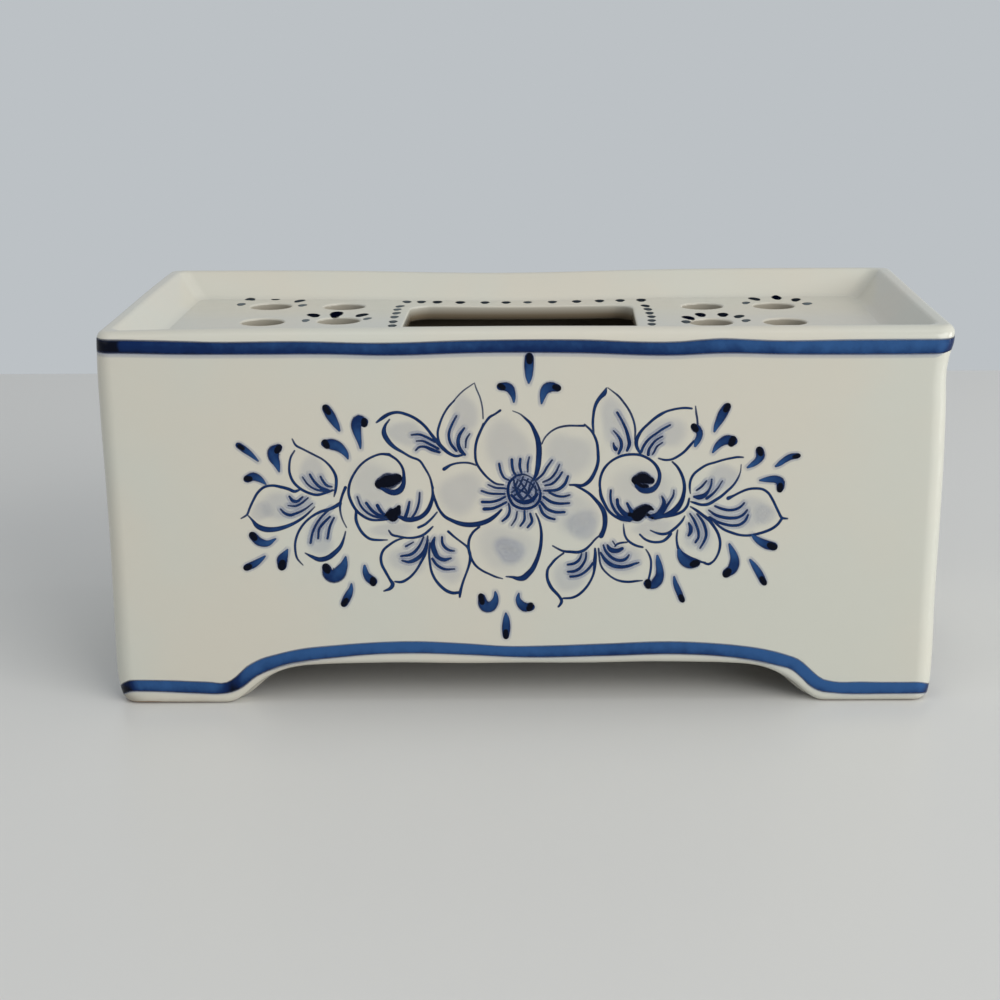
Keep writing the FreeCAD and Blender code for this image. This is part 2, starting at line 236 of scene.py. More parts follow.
def glazeMaterial(name, inner=0.0):
    # Cream glaze that drifts between warm and cool.
    # Point attribute: how thin the glaze is, how bare the clay is, and how much painted shade darkens it.
    material, tree, place = newMaterial(name)
    drift = noise(tree, place, glaze["driftScale"], 3.0)
    fine = noise(tree, place, glaze["fineScale"], 4.0, 0.6)
    color = mixed(tree, drift.step(0.35, 0.65), glaze["warm"], glaze["cool"])
    color = mixed(tree, 0.5, color, glaze["cream"])
    # Painted shade: the whole piece darkened by the share inner, for the pieces inside the brick.
    color = mixed(tree, inner, color, glaze["inside"])
    thin, raw, dark = channels(tree, "wearAndShade")
    ragged = (thin + (fine - 0.5) * 0.7).step(0.25, 0.95)
    color = mixed(tree, ragged * 0.6, color, glaze["thin"])
    # Painted shade in hollows and on undersides, from the attribute's third number.
    color = mixed(tree, dark, color, glaze["inside"])
    bare = (raw + (fine - 0.5) * 0.8).step(0.4, 0.7)
    color = mixed(tree, bare, color, glaze["clay"])
    waves = noise(tree, place, glaze["bumpScale"], 3.0) + fine * 0.25
    bump = addNode(tree, "ShaderNodeBump", None, {"Strength": 0.12, "Distance": 0.0006, "Height": waves})
    finishMaterial(tree, {"Base Color": color, "Roughness": glaze["rough"] + bare * glaze["bareRough"] + fine * 0.05,
                          "Normal": bump, "Coat Weight": (1 - bare) * glaze["coat"], "Coat Roughness": 0.06,
                          "Specular IOR Level": glaze["specular"]})
    return material


paint = dict(middle=srgb(46, 84, 134), deep=srgb(12, 36, 80), black=srgb(2, 6, 22), grey=srgb(64, 80, 104),
             wash=srgb(138, 152, 192), faint=srgb(104, 112, 116), dash=srgb(46, 52, 58), gloss=0.1,
             patchScale=420.0, washPatchScale=300.0, rough=0.2, washRough=0.18)


def paintMaterial(name, middle, deep, gloss):
    # Cobalt that is mid blue where thin and near black where full: ink + 0.4 across^3 + patches goes from middle
    # through deep to black. Attribute "stroke": across, fullness, ink.
    material, tree, place = newMaterial(name)
    across, full, ink = channels(tree, "stroke")
    edge = across.math("ABSOLUTE")
    patch = noise(tree, place, paint["patchScale"], 3.0, 0.6)
    dark = ink + edge ** 3 * 0.4 * full + (patch - 0.5) * 0.5
    color = mixed(tree, dark.step(0.05, 0.75), middle, deep)
    color = mixed(tree, (dark - 0.75).step(0.0, 0.5) * (1 - edge.step(0.5, 1.0) * 0.8), color, paint["black"])
    color = mixed(tree, (1 - full) * 0.5, color, paint["grey"])
    alpha = (1 - edge.step(0.6, 1.0) * 0.8) * (0.6 + full * 0.4)
    finishMaterial(tree, {"Base Color": color, "Roughness": paint["rough"] + patch * 0.05, "Alpha": alpha,
                          "Specular IOR Level": gloss})
    return material


def washMaterial(name):
    # Cobalt bled thin into the glaze: level over the middle of a pull and gone at its edge.
    # Attribute "stroke": across, fullness, strength.
    material, tree, place = newMaterial(name)
    across, full, strength = channels(tree, "stroke")
    patch = noise(tree, place, paint["washPatchScale"], 3.0, 0.6)
    alpha = (1 - across.math("ABSOLUTE").step(0.5, 1.0)) * strength * (0.85 + patch * 0.3)
    color = mixed(tree, patch * 0.3, paint["wash"], paint["grey"])
    finishMaterial(tree, {"Base Color": color, "Roughness": paint["washRough"], "Alpha": alpha})
    return material


tinGlaze = glazeMaterial("tinGlaze")
# The glaze of the pieces inside, darkened all over with painted shade.
shadedInnerGlaze = glazeMaterial("shadedInnerGlaze", glaze["shadeInside"])
cobaltPaint = paintMaterial("cobaltPaint", paint["middle"], paint["deep"], paint["gloss"])
dashPaint = paintMaterial("dashPaint", paint["faint"], paint["dash"], 0.0)
paleWash = washMaterial("paleWash")


def roundedPath(corners, radii, counts, straights):
    # A path through corners, each turned by an arc of its radius with its count of steps, and straights cut into steps.
    corners = np.array(corners, float)
    ends = []
    for k, (p, r) in enumerate(zip(corners, radii)):
        if k in (0, len(corners) - 1) or r == 0:
            ends.append((p, p, p[None]))
            continue
        a, b = corners[k - 1] - p, corners[k + 1] - p
        a, b = a / np.linalg.norm(a), b / np.linalg.norm(b)
        half = math.acos(np.clip(a @ b, -1, 1)) / 2
        reach = r / math.tan(half)
        middle = p + (a + b) / np.linalg.norm(a + b) * r / math.sin(half)
        start, stop = p + a * reach, p + b * reach
        t = np.linspace(0, 1, counts[k] + 1)[:, None]
        v0, v1 = start - middle, stop - middle  # the arc turns the arm v0 round the middle to v1
        turn = math.acos(np.clip(v0 @ v1 / r / r, -1, 1))
        arc = middle + (np.sin((1 - t) * turn) * v0 + np.sin(t * turn) * v1) / math.sin(turn)
        ends.append((start, stop, arc))
    pieces = [ends[0][2]]
    for before, after, steps in zip(ends, ends[1:], straights):
        t = (np.arange(1, steps) / steps)[:, None]
        pieces += [before[1] * (1 - t) + after[0] * t, after[2]]
    return np.concatenate(pieces)


# Columns along a long side, along an end, and round a corner.
outline = dict(longColumns=153, shortColumns=63, cornerSteps=14)


def outlineColumns():
    # tx, ty, nx, ny for each column, front, right, back, left: its place as a share of the half sizes, and the way out.
    sides = [np.linspace(-1, 1, outline["longColumns"]), np.linspace(-1, 1, outline["shortColumns"])] * 2
    turns = np.linspace(0, math.pi / 2, outline["cornerSteps"] + 1)[1:-1]
    parts, ways = [], [(0, -1), (1, 0), (0, 1), (-1, 0)]
    for side, (t, (nx, ny), (cx, cy)) in enumerate(zip(sides, ways, [(1, -1), (1, 1), (-1, 1), (-1, -1)])):
        one = np.ones(len(t))
        parts.append(np.stack([nx * one - ny * t, ny * one + nx * t, nx * one, ny * one]))
        angle, one = turns + (side - 1) * math.pi / 2, np.ones(len(turns))
        parts.append(np.stack([cx * one, cy * one, np.cos(angle), np.sin(angle)]))
    return np.concatenate(parts, axis=1)


columns = outlineColumns()


def onOutline(depth):
    # The outline moved in by depth: ((L/2 - d - r) tx + r nx, (W/2 - d - r) ty + r ny), r the corner's radius there.
    tx, ty, nx, ny = columns
    r = np.maximum(block["cornerRound"] - depth, block["innerRound"])
    return (block["halfLength"] - depth - r) * tx + r * nx, (block["halfDepth"] - depth - r) * ty + r * ny


# Height of the lower edge, as (distance from the middle of the side, height).
gap = dict(front=[(0, 8.15), (12, 8.1), (25, 8.3), (33, 8.2), (40, 8.0), (43.9, 7.7), (46.7, 7.15), (50.1, 5.75),
                  (53, 3.85), (55.4, 1.75), (57.2, 0.5), (58.6, 0.05), (60, 0), (90, 0)],
           side=[(0, 8.3), (6, 8.2), (9, 7.8), (12, 6.6), (15, 4.3), (17.6, 1.9), (19.6, 0.5), (21, 0.05),
                 (22.4, 0), (60, 0)])


def footEdge():
    # Height of the lower edge at each column: a gap between two feet on every side.
    tx, ty = columns[:2]
    alongX = np.abs(tx) * (block["halfLength"] - block["cornerRound"])
    alongY = np.abs(ty) * (block["halfDepth"] - block["cornerRound"])
    lift = np.where(np.abs(ty) > 0.999, throughPoints(gap["front"], alongX), throughPoints(gap["side"], alongY))
    return np.maximum(lift, 0)


# insideShade and footShade are painted shade: the inner face of the walls and the corner of the front left foot
# darkened.
skin = dict(panelEdge=(11.2, 69.35), crease=(8.5, 69.76), crest=(3.25, 75.0), creaseRound=4.0, crestRound=1.5,
            rimRound=2.6, endRound=1.5, lipRound=1.4, innerLip=0.8, split=18.0, ledge=69.1, fullLift=8.0, bevelRows=14,
            crestWear=0.3, lipWear=0.5, footWear=0.6, insideShade=0.85, footShade=0.5)


def skinProfile(lift, rimRound):
    # Closed section of the wall, as (depth, height), from under the panel's face over the rim and down to the lip.
    wall, split, ledge = block["wall"], skin["split"], skin["ledge"]
    corners = [skin["panelEdge"], skin["crease"], skin["crest"], (0, block["height"]), (0, split), (0, lift),
               (wall, lift), (wall, split), (wall, ledge), (skin["panelEdge"][0], ledge)]
    radii = [0, skin["creaseRound"], skin["crestRound"], rimRound, 0, skin["lipRound"], skin["innerLip"], 0, 0.1, 0]
    return roundedPath(corners, radii, [0, 8, 8, 12, 0, 8, 6, 0, 1, 0], [2, 6, 2, 26, 10, 3, 6, 12, 3])


def buildSkin():
    # The section carried round the outline: blended by share for the height of the lower edge, and by side for the
    # smaller rounding of the rim at the ends.
    edge = footEdge()
    share, side = edge[None, :, None] / skin["fullLift"], columns[2][None, :, None] ** 2
    low, high, lowEnd, highEnd = (skinProfile(lift, skin[key])[:, None] for key in ("rimRound", "endRound")
                                  for lift in (0.0, skin["fullLift"]))
    section = (low * (1 - share) + high * share) * (1 - side) + (lowEnd * (1 - share) + highEnd * share) * side
    depth, height = section[..., 0], section[..., 1]
    x, y = onOutline(depth)
    crest = np.exp(-((depth - 3.0) / 1.1) ** 2) * (height > 73.5)
    lip = np.exp(-((height - edge[None, :]) / 0.9) ** 2)
    lowLeft = ramp01(2.8 - height, 0, 1.6) * (y < -28)
    inside = ramp01(depth, 3.2, 3.9) * (height < 69.6) * (depth < 4.2)
    thin = np.maximum(crest * skin["crestWear"], lip * skin["lipWear"])
    thin = np.maximum(thin, lowLeft * ramp01(-x, 52, 66) * skin["footWear"])
    raw = np.clip(1.3 - height / (0.3 + 0.5 * ramp01(-x, 60, 79)), 0, 1) * (edge[None, :] < 0.3)
    # Painted shade on the inner face of the walls and at the corner of the front left foot.
    dark = np.maximum(inside * skin["insideShade"], lowLeft * ramp01(-x, 74, 79) * skin["footShade"])
    wearAndShade = np.stack([thin, raw, dark], axis=-1)
    faces = gridFaces(*height.shape, loopRows=True, loopColumns=True)
    points = handMade(np.stack([x, y, height], axis=-1))
    piece = addPiece("glazedWalls", points.reshape(-1, 3), faces, tinGlaze, "wearAndShade", wearAndShade.reshape(-1, 3))
    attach(piece, "root")
    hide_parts("front_wall", "right_wall", "back_wall", "left_wall", "rim_coil")
    print("glazedWalls", len(faces), "faces")


# holeShade, openingShade and underShade are painted shade down the holes' walls, down the opening's wall and under the
# panel.
panel = dict(top=69.75, thick=3.15, edge=(77.0, 31.0), bore=(4.35, 3.9), holeRound=0.45, columnsAt=(38.4, 53.9),
             rowsAt=(-16.4, 0.0, 16.4), half=(7.75, 8.2), opening=(23.7, 17.4), openingRound=4.4, openingAt=(-1.0, 1.0),
             steps=16, middleSteps=60, endSteps=14, rimSteps=7, chamfer=0.5,
             holeShade=(0.5, 0.55, 0.65, 0.8), openingShade=(0.25, 0.6, 0.95, 1.0), underShade=0.75)
# How far each hole was pierced from its marked place.
shifts = {(-53.9, 16.4): (-1.0, 1.2), (-53.9, 0.0): (0.0, 0.2), (-53.9, -16.4): (0.5, 0.6),
          (-38.4, 16.4): (-0.7, 0.7), (-38.4, 0.0): (0.0, 1.1), (-38.4, -16.4): (-0.6, -0.2),
          (38.4, 16.4): (-0.8, -0.9), (38.4, 0.0): (-0.4, -2.2), (38.4, -16.4): (0.3, 0.7),
          (53.9, 16.4): (-1.0, -1.0), (53.9, 0.0): (-0.8, -2.2), (53.9, -16.4): (-0.5, 0.2)}


def boxLoop(cx, cy, hx, hy, nx, ny):
    # Points round a rectangle, from its lower left corner, nx steps along x and ny along y.
    a, b = np.linspace(-1, 1, nx + 1)[:-1], np.linspace(-1, 1, ny + 1)[:-1]
    x = np.concatenate([a, np.ones(ny), -a, -np.ones(ny)])
    y = np.concatenate([-np.ones(nx), b, np.ones(nx), -b])
    return np.stack([cx + hx * x, cy + hy * y], axis=1), np.stack([x, y], axis=1)


def roundLoop(unit, cx, cy, rx, ry):
    # The same points moved onto an ellipse, each by the angle of its place on the square.
    x, y = unit[:, 0], unit[:, 1]
    onX = np.where(y < 0, -math.pi / 2 + x * math.pi / 4, math.pi / 2 - x * math.pi / 4)
    onY = np.where(x > 0, y * math.pi / 4, math.pi - y * math.pi / 4)
    angle = np.where(np.abs(y) >= np.abs(x), onX, onY)
    return np.stack([cx + rx * np.cos(angle), cy + ry * np.sin(angle)], axis=1)


def roundedBoxLoop(unit, cx, cy, hx, hy, r):
    # The same points on a rectangle with round corners: near a corner, a length r of each side takes 45 degrees.
    x, y = unit[:, 0] * hx, unit[:, 1] * hy
    tx = np.clip((np.abs(x) - (hx - r)) / r, 0, 1) * math.pi / 4
    ty = np.clip((np.abs(y) - (hy - r)) / r, 0, 1) * math.pi / 4
    onX = np.stack([np.sign(x) * np.where(tx > 0, hx - r + r * np.sin(tx), np.abs(x)),
                    np.sign(y) * np.where(tx > 0, hy - r + r * np.cos(tx), hy)], axis=1)
    onY = np.stack([np.sign(x) * np.where(ty > 0, hx - r + r * np.cos(ty), hx),
                    np.sign(y) * np.where(ty > 0, hy - r + r * np.sin(ty), np.abs(y))], axis=1)
    return np.where(np.abs(unit[:, 1:]) >= 0.9999, onX, onY) + (cx, cy)


def piercedPatch(outer, inner, centre, shade):
    # Rings from the outer loop to a hole's loop, round its rim, down its wall, and back along the underside.
    # The wall gets darker downward by the painted shade given in shade, and the underside is darkened with painted
    # shade too. A ring is its points, height, thinness of the glaze and painted shade.
    top, low, rim, under = panel["top"], panel["top"] - panel["thick"], panel["holeRound"], panel["underShade"]
    away = inner - centre
    away /= np.linalg.norm(away, axis=1)[:, None]
    wide, chamfered = inner + away * rim, inner + away * panel["chamfer"]
    rings = [(outer * (1 - t) + wide * t, top, 0.0, 0.0) for t in np.linspace(0, 1, 8)]
    for t in np.linspace(0, 1, 7)[1:]:
        angle = t * math.pi / 2
        rings.append((inner + away * rim * (1 - math.sin(angle)), top - rim * (1 - math.cos(angle)),
                      0.3 * math.sin(2 * angle) ** 2, shade[0] * t ** 3))
    rings += [(inner, (top - rim) * (1 - t) + (low + panel["chamfer"]) * t, 0.0, dark)
              for t, dark in zip((0.35, 0.7, 1.0), shade[1:])]
    rings += [(chamfered * (1 - t) + outer * t, low, 0.0, under) for t in (0.0, 0.5, 1.0)]
    points = np.concatenate([np.column_stack([p, np.full(len(p), z)]) for p, z, thin, dark in rings])
    wearAndShade = np.concatenate([np.tile((thin, 0.0, dark), (len(p), 1)) for p, z, thin, dark in rings])
    return points, gridFaces(len(rings), len(outer), loopColumns=True), wearAndShade


def flatPatch(xs, ys):
    # A plain grid over xs and ys, with its top and its underside, the underside darkened with painted shade.
    x, y = (grid.ravel() for grid in np.meshgrid(xs, ys, indexing="ij"))
    top = np.column_stack([x, y, np.full(len(x), panel["top"])])
    faces = gridFaces(len(xs), len(ys))[:, ::-1]
    wearAndShade = np.repeat([(0, 0, 0), (0, 0, panel["underShade"])], len(x), axis=0)
    return np.concatenate([top, top - (0, 0, panel["thick"])]), np.concatenate([faces, faces[:, ::-1] + len(x)]), wearAndShade


def buildPanel():
    # Twelve pierced cells, one cell with the opening, and plain strips out to the panel's edge.
    n, (edgeX, edgeY), (halfX, halfY) = panel["steps"], panel["edge"], panel["half"]
    midX, cutX, cutY = panel["columnsAt"][0] - halfX, panel["columnsAt"][1] + halfX, panel["rowsAt"][2] + halfY
    cells = []
    for cx in [sign * at for sign in (-1, 1) for at in panel["columnsAt"]]:
        for cy in panel["rowsAt"]:
            outer, unit = boxLoop(cx, cy, halfX, halfY, n, n)
            centre = np.add((cx, cy), shifts[(cx, cy)])
            cells.append(piercedPatch(outer, roundLoop(unit, *centre, *panel["bore"]), centre, panel["holeShade"]))
    outer, unit = boxLoop(0, 0, midX, cutY, panel["middleSteps"], 3 * n)
    inner = roundedBoxLoop(unit, *panel["openingAt"], *panel["opening"], panel["openingRound"])
    cells.append(piercedPatch(outer, inner, np.array(panel["openingAt"]), panel["openingShade"]))
    sideX = np.linspace(midX, cutX, 2 * n + 1)
    middleX = np.concatenate([-sideX[:0:-1], np.linspace(-midX, midX, panel["middleSteps"] + 1)[:-1], sideX])
    middleY = np.linspace(-cutY, cutY, 3 * n + 1)
    endX, rimY = np.linspace(cutX, edgeX, panel["endSteps"] + 1), np.linspace(cutY, edgeY, panel["rimSteps"] + 1)
    for xs in (-endX[::-1], endX):
        cells += [flatPatch(xs, ys) for ys in (middleY, -rimY[::-1], rimY)]
    cells += [flatPatch(middleX, ys) for ys in (-rimY[::-1], rimY)]
    allX = np.concatenate([-endX[:0:-1], middleX, endX[1:]])
    allY = np.concatenate([-rimY[:0:-1], middleY, rimY[1:]])
    loop = np.concatenate([np.column_stack(np.broadcast_arrays(x, y)) for x, y in
                           ((allX[:-1], -edgeY), (edgeX, allY[:-1]), (allX[:0:-1], edgeY), (-edgeX, allY[:0:-1]))])
    side = np.concatenate([np.column_stack([loop, np.full(len(loop), z)])
                           for z in (panel["top"] - panel["thick"], panel["top"])])
    cells.append((side, gridFaces(2, len(loop), loopColumns=True), np.zeros((len(side), 3))))
    points, faces, wearAndShade = joined(cells)
    data, faces = welded(np.column_stack([points, wearAndShade]), faces)
    piece = addPiece("piercedPanel", handMade(data[:, :3]), faces, tinGlaze, "wearAndShade", data[:, 3:])
    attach(piece, "root")
    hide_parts("top_plate")
    print("piercedPanel", len(faces), "faces")


def outerDepth(height):
    # Depth of the outer face at a height: none on the wall, and an arc over the rim's rounding.
    r = skin["rimRound"] + (skin["endRound"] - skin["rimRound"]) * columns[2][None, :] ** 2
    rise = np.clip(height - (block["height"] - r), 0, r)
    return r - np.sqrt(r * r - rise ** 2)


paintAt = 0.4  # the painting sits this far to the right of the block's middle
# Lower and upper edges of the bands: along the front by x, along the ends by y.
bands = dict(
    topLow=[(-90, 71.1), (-74, 70.9), (-65, 70.5), (-50, 70.25), (-35, 70.2), (-27, 69.95), (-7, 70.3),
        (10, 70.15), (28, 69.7), (37, 70.05), (48, 69.8), (70, 69.7), (90, 69.9)],
    topHigh=[(-90, 74.1), (-74, 73.9), (-65, 73.5), (-58, 73.15), (-42, 73.1), (-27, 72.75), (-10, 73.1),
        (10, 73.15), (28, 72.75), (36, 73.3), (46, 72.9), (62, 73.0), (90, 73.0)],
    footLow=[(-90, 2.6), (-73, 2.5), (-65, 2.1), (-60.5, 2.0), (-57.7, 2.5), (-55.9, 3.4), (-53.6, 5.35),
        (-51.2, 6.65), (-47.6, 8.05), (-43.3, 8.9), (-37.6, 9.55), (-30.9, 10.2), (-23, 10.45), (-12, 10.1), (0, 9.5),
        (15, 9.7), (30, 10.0), (36.7, 9.65), (41.7, 9.1), (45.5, 8.45), (49.2, 7.5), (52, 6.65), (53.9, 5.0),
        (55.5, 3.3), (57.7, 2.1), (60.1, 1.75), (72, 1.5), (90, 1.8)],
    footHigh=[(-90, 5.4), (-70, 5.35), (-63, 5.05), (-58.8, 5.05), (-57.2, 6.2), (-55.3, 8.1), (-52.7, 9.65),
        (-48.9, 10.85), (-44.3, 11.9), (-37.4, 12.65), (-30.8, 13.15), (-22, 13.4), (-12, 12.9), (-4, 12.3),
        (5, 12.4), (15, 12.75), (29, 13.15), (36, 12.8), (41.7, 12.25), (46.2, 11.55), (50.7, 10.35), (53.7, 9.1),
        (55.3, 7.7), (56.6, 6.4), (58.2, 5.15), (59.5, 4.75), (66, 4.5), (90, 4.5)],
    sideLow=[(-60, 2.2), (-22.5, 2.3), (-20.4, 2.9), (-17.2, 5.0), (-14, 7.9), (-10, 9.7), (-5, 10.3), (0, 10.4),
        (5, 10.3), (10, 9.7), (14, 7.9), (17.2, 5.0), (20.4, 2.9), (22.5, 2.3), (60, 2.2)],
    sideHigh=[(-60, 4.7), (-23.2, 4.8), (-21.2, 5.6), (-18.4, 7.8), (-15, 10.2), (-10.6, 12.1), (-5, 12.8),
        (0, 12.9), (5, 12.8), (10.6, 12.1), (15, 10.2), (18.4, 7.8), (21.2, 5.6), (23.2, 4.8), (60, 4.7)],
    proud=0.05, washProud=0.03, sunk=0.06, bleed=(0.9, 0.35), footBleed=(0.5, 0.7), bleedInk=0.16, footBleedInk=0.13,
    topInk=0.48, footInk=0.2, blackStart=(74.8, 77.6), footStart=(76.6, 79.0), lapAt=-58.0, edgeInk=0.22)


def buildBand(name, low, high, ink, proud, material):
    # A closed strip round the block between two heights, a little proud of the glaze, its back sunk below it.
    v = np.array([-1, -0.9, -0.7, -0.35, 0, 0.35, 0.7, 0.9, 1])
    height = low[None, :] + (high - low)[None, :] * (v[:, None] + 1) / 2
    lift = (proud * (1 - v ** 4) - 0.015)[:, None]
    back = v[::4][::-1]
    under = low[None, :] + (high - low)[None, :] * (back[:, None] * 0.96 + 1) / 2
    depth = np.concatenate([outerDepth(height) - lift, outerDepth(under) + bands["sunk"]])
    height = np.concatenate([height + lift * outerDepth(height) / skin["rimRound"], under])
    x, y = onOutline(depth)
    points = handMade(np.stack([x, y, height], axis=-1))
    across = np.concatenate([v, back])[:, None] * np.ones_like(ink)
    stroke = np.stack([across, np.ones_like(across), ink[None, :] - bands["edgeInk"] * across], axis=-1)
    faces = gridFaces(*height.shape, loopRows=True, loopColumns=True)[:, ::-1]
    piece = addPiece(name, points.reshape(-1, 3), faces, material, "stroke", stroke.reshape(-1, 3))
    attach(piece, "root")
    print(name, len(faces), "faces")


def buildBands():
    # Heights along the front follow x and along the back -x, and flipped goes from the one to the other along the ends.
    # Each band starts black at the front's left corner, and the foot band laps over itself at lapAt.
    tx, ty, nx, ny = columns
    x = tx * (block["halfLength"] - block["cornerRound"]) + nx * block["cornerRound"]
    y = ty * (block["halfDepth"] - block["cornerRound"]) + ny * block["cornerRound"]
    flipped = x * (1 - 2 * ramp01(y, -26, 26)) - paintAt
    side, onFace = nx ** 2, ramp01(np.abs(y), 27, 32)

    def height(front, ends=None):
        long = throughPoints(bands[front], flipped)
        return long if ends is None else long * (1 - side) + throughPoints(bands[ends], y) * side
    topLow, topHigh = height("topLow"), height("topHigh")
    footLow, footHigh = height("footLow", "sideLow"), height("footHigh", "sideHigh")
    topInk = (bands["topInk"] + 0.1 * np.sin(x / 17 + 1) + 0.27 * ramp01(-flipped, 10, 70)
              - 0.16 * ramp01(flipped, 0, 60) + ramp01(-flipped, *bands["blackStart"]) * onFace
              + 0.5 * ramp01(flipped, 77.5, 80))
    footInk = (bands["footInk"] + 0.1 * np.sin(x / 13) + 0.9 * ramp01(-flipped, *bands["footStart"]) * onFace
               + 0.75 * np.exp(-((flipped - bands["lapAt"]) / 1.6) ** 2) + 0.5 * ramp01(flipped, 78, 80))
    below, above = bands["bleed"]
    footBelow, footAbove = bands["footBleed"]
    buildBand("topBand", topLow, topHigh, topInk, bands["proud"], cobaltPaint)
    buildBand("footBand", footLow, footHigh, footInk, bands["proud"], cobaltPaint)
    buildBand("topBandWash", topLow - below, topHigh + above, 0 * x + bands["bleedInk"], bands["washProud"], paleWash)
    buildBand("footBandWash", np.maximum(footLow - footBelow, 0.4), footHigh + footAbove, 0 * x + bands["footBleedInk"],
              bands["washProud"], paleWash)


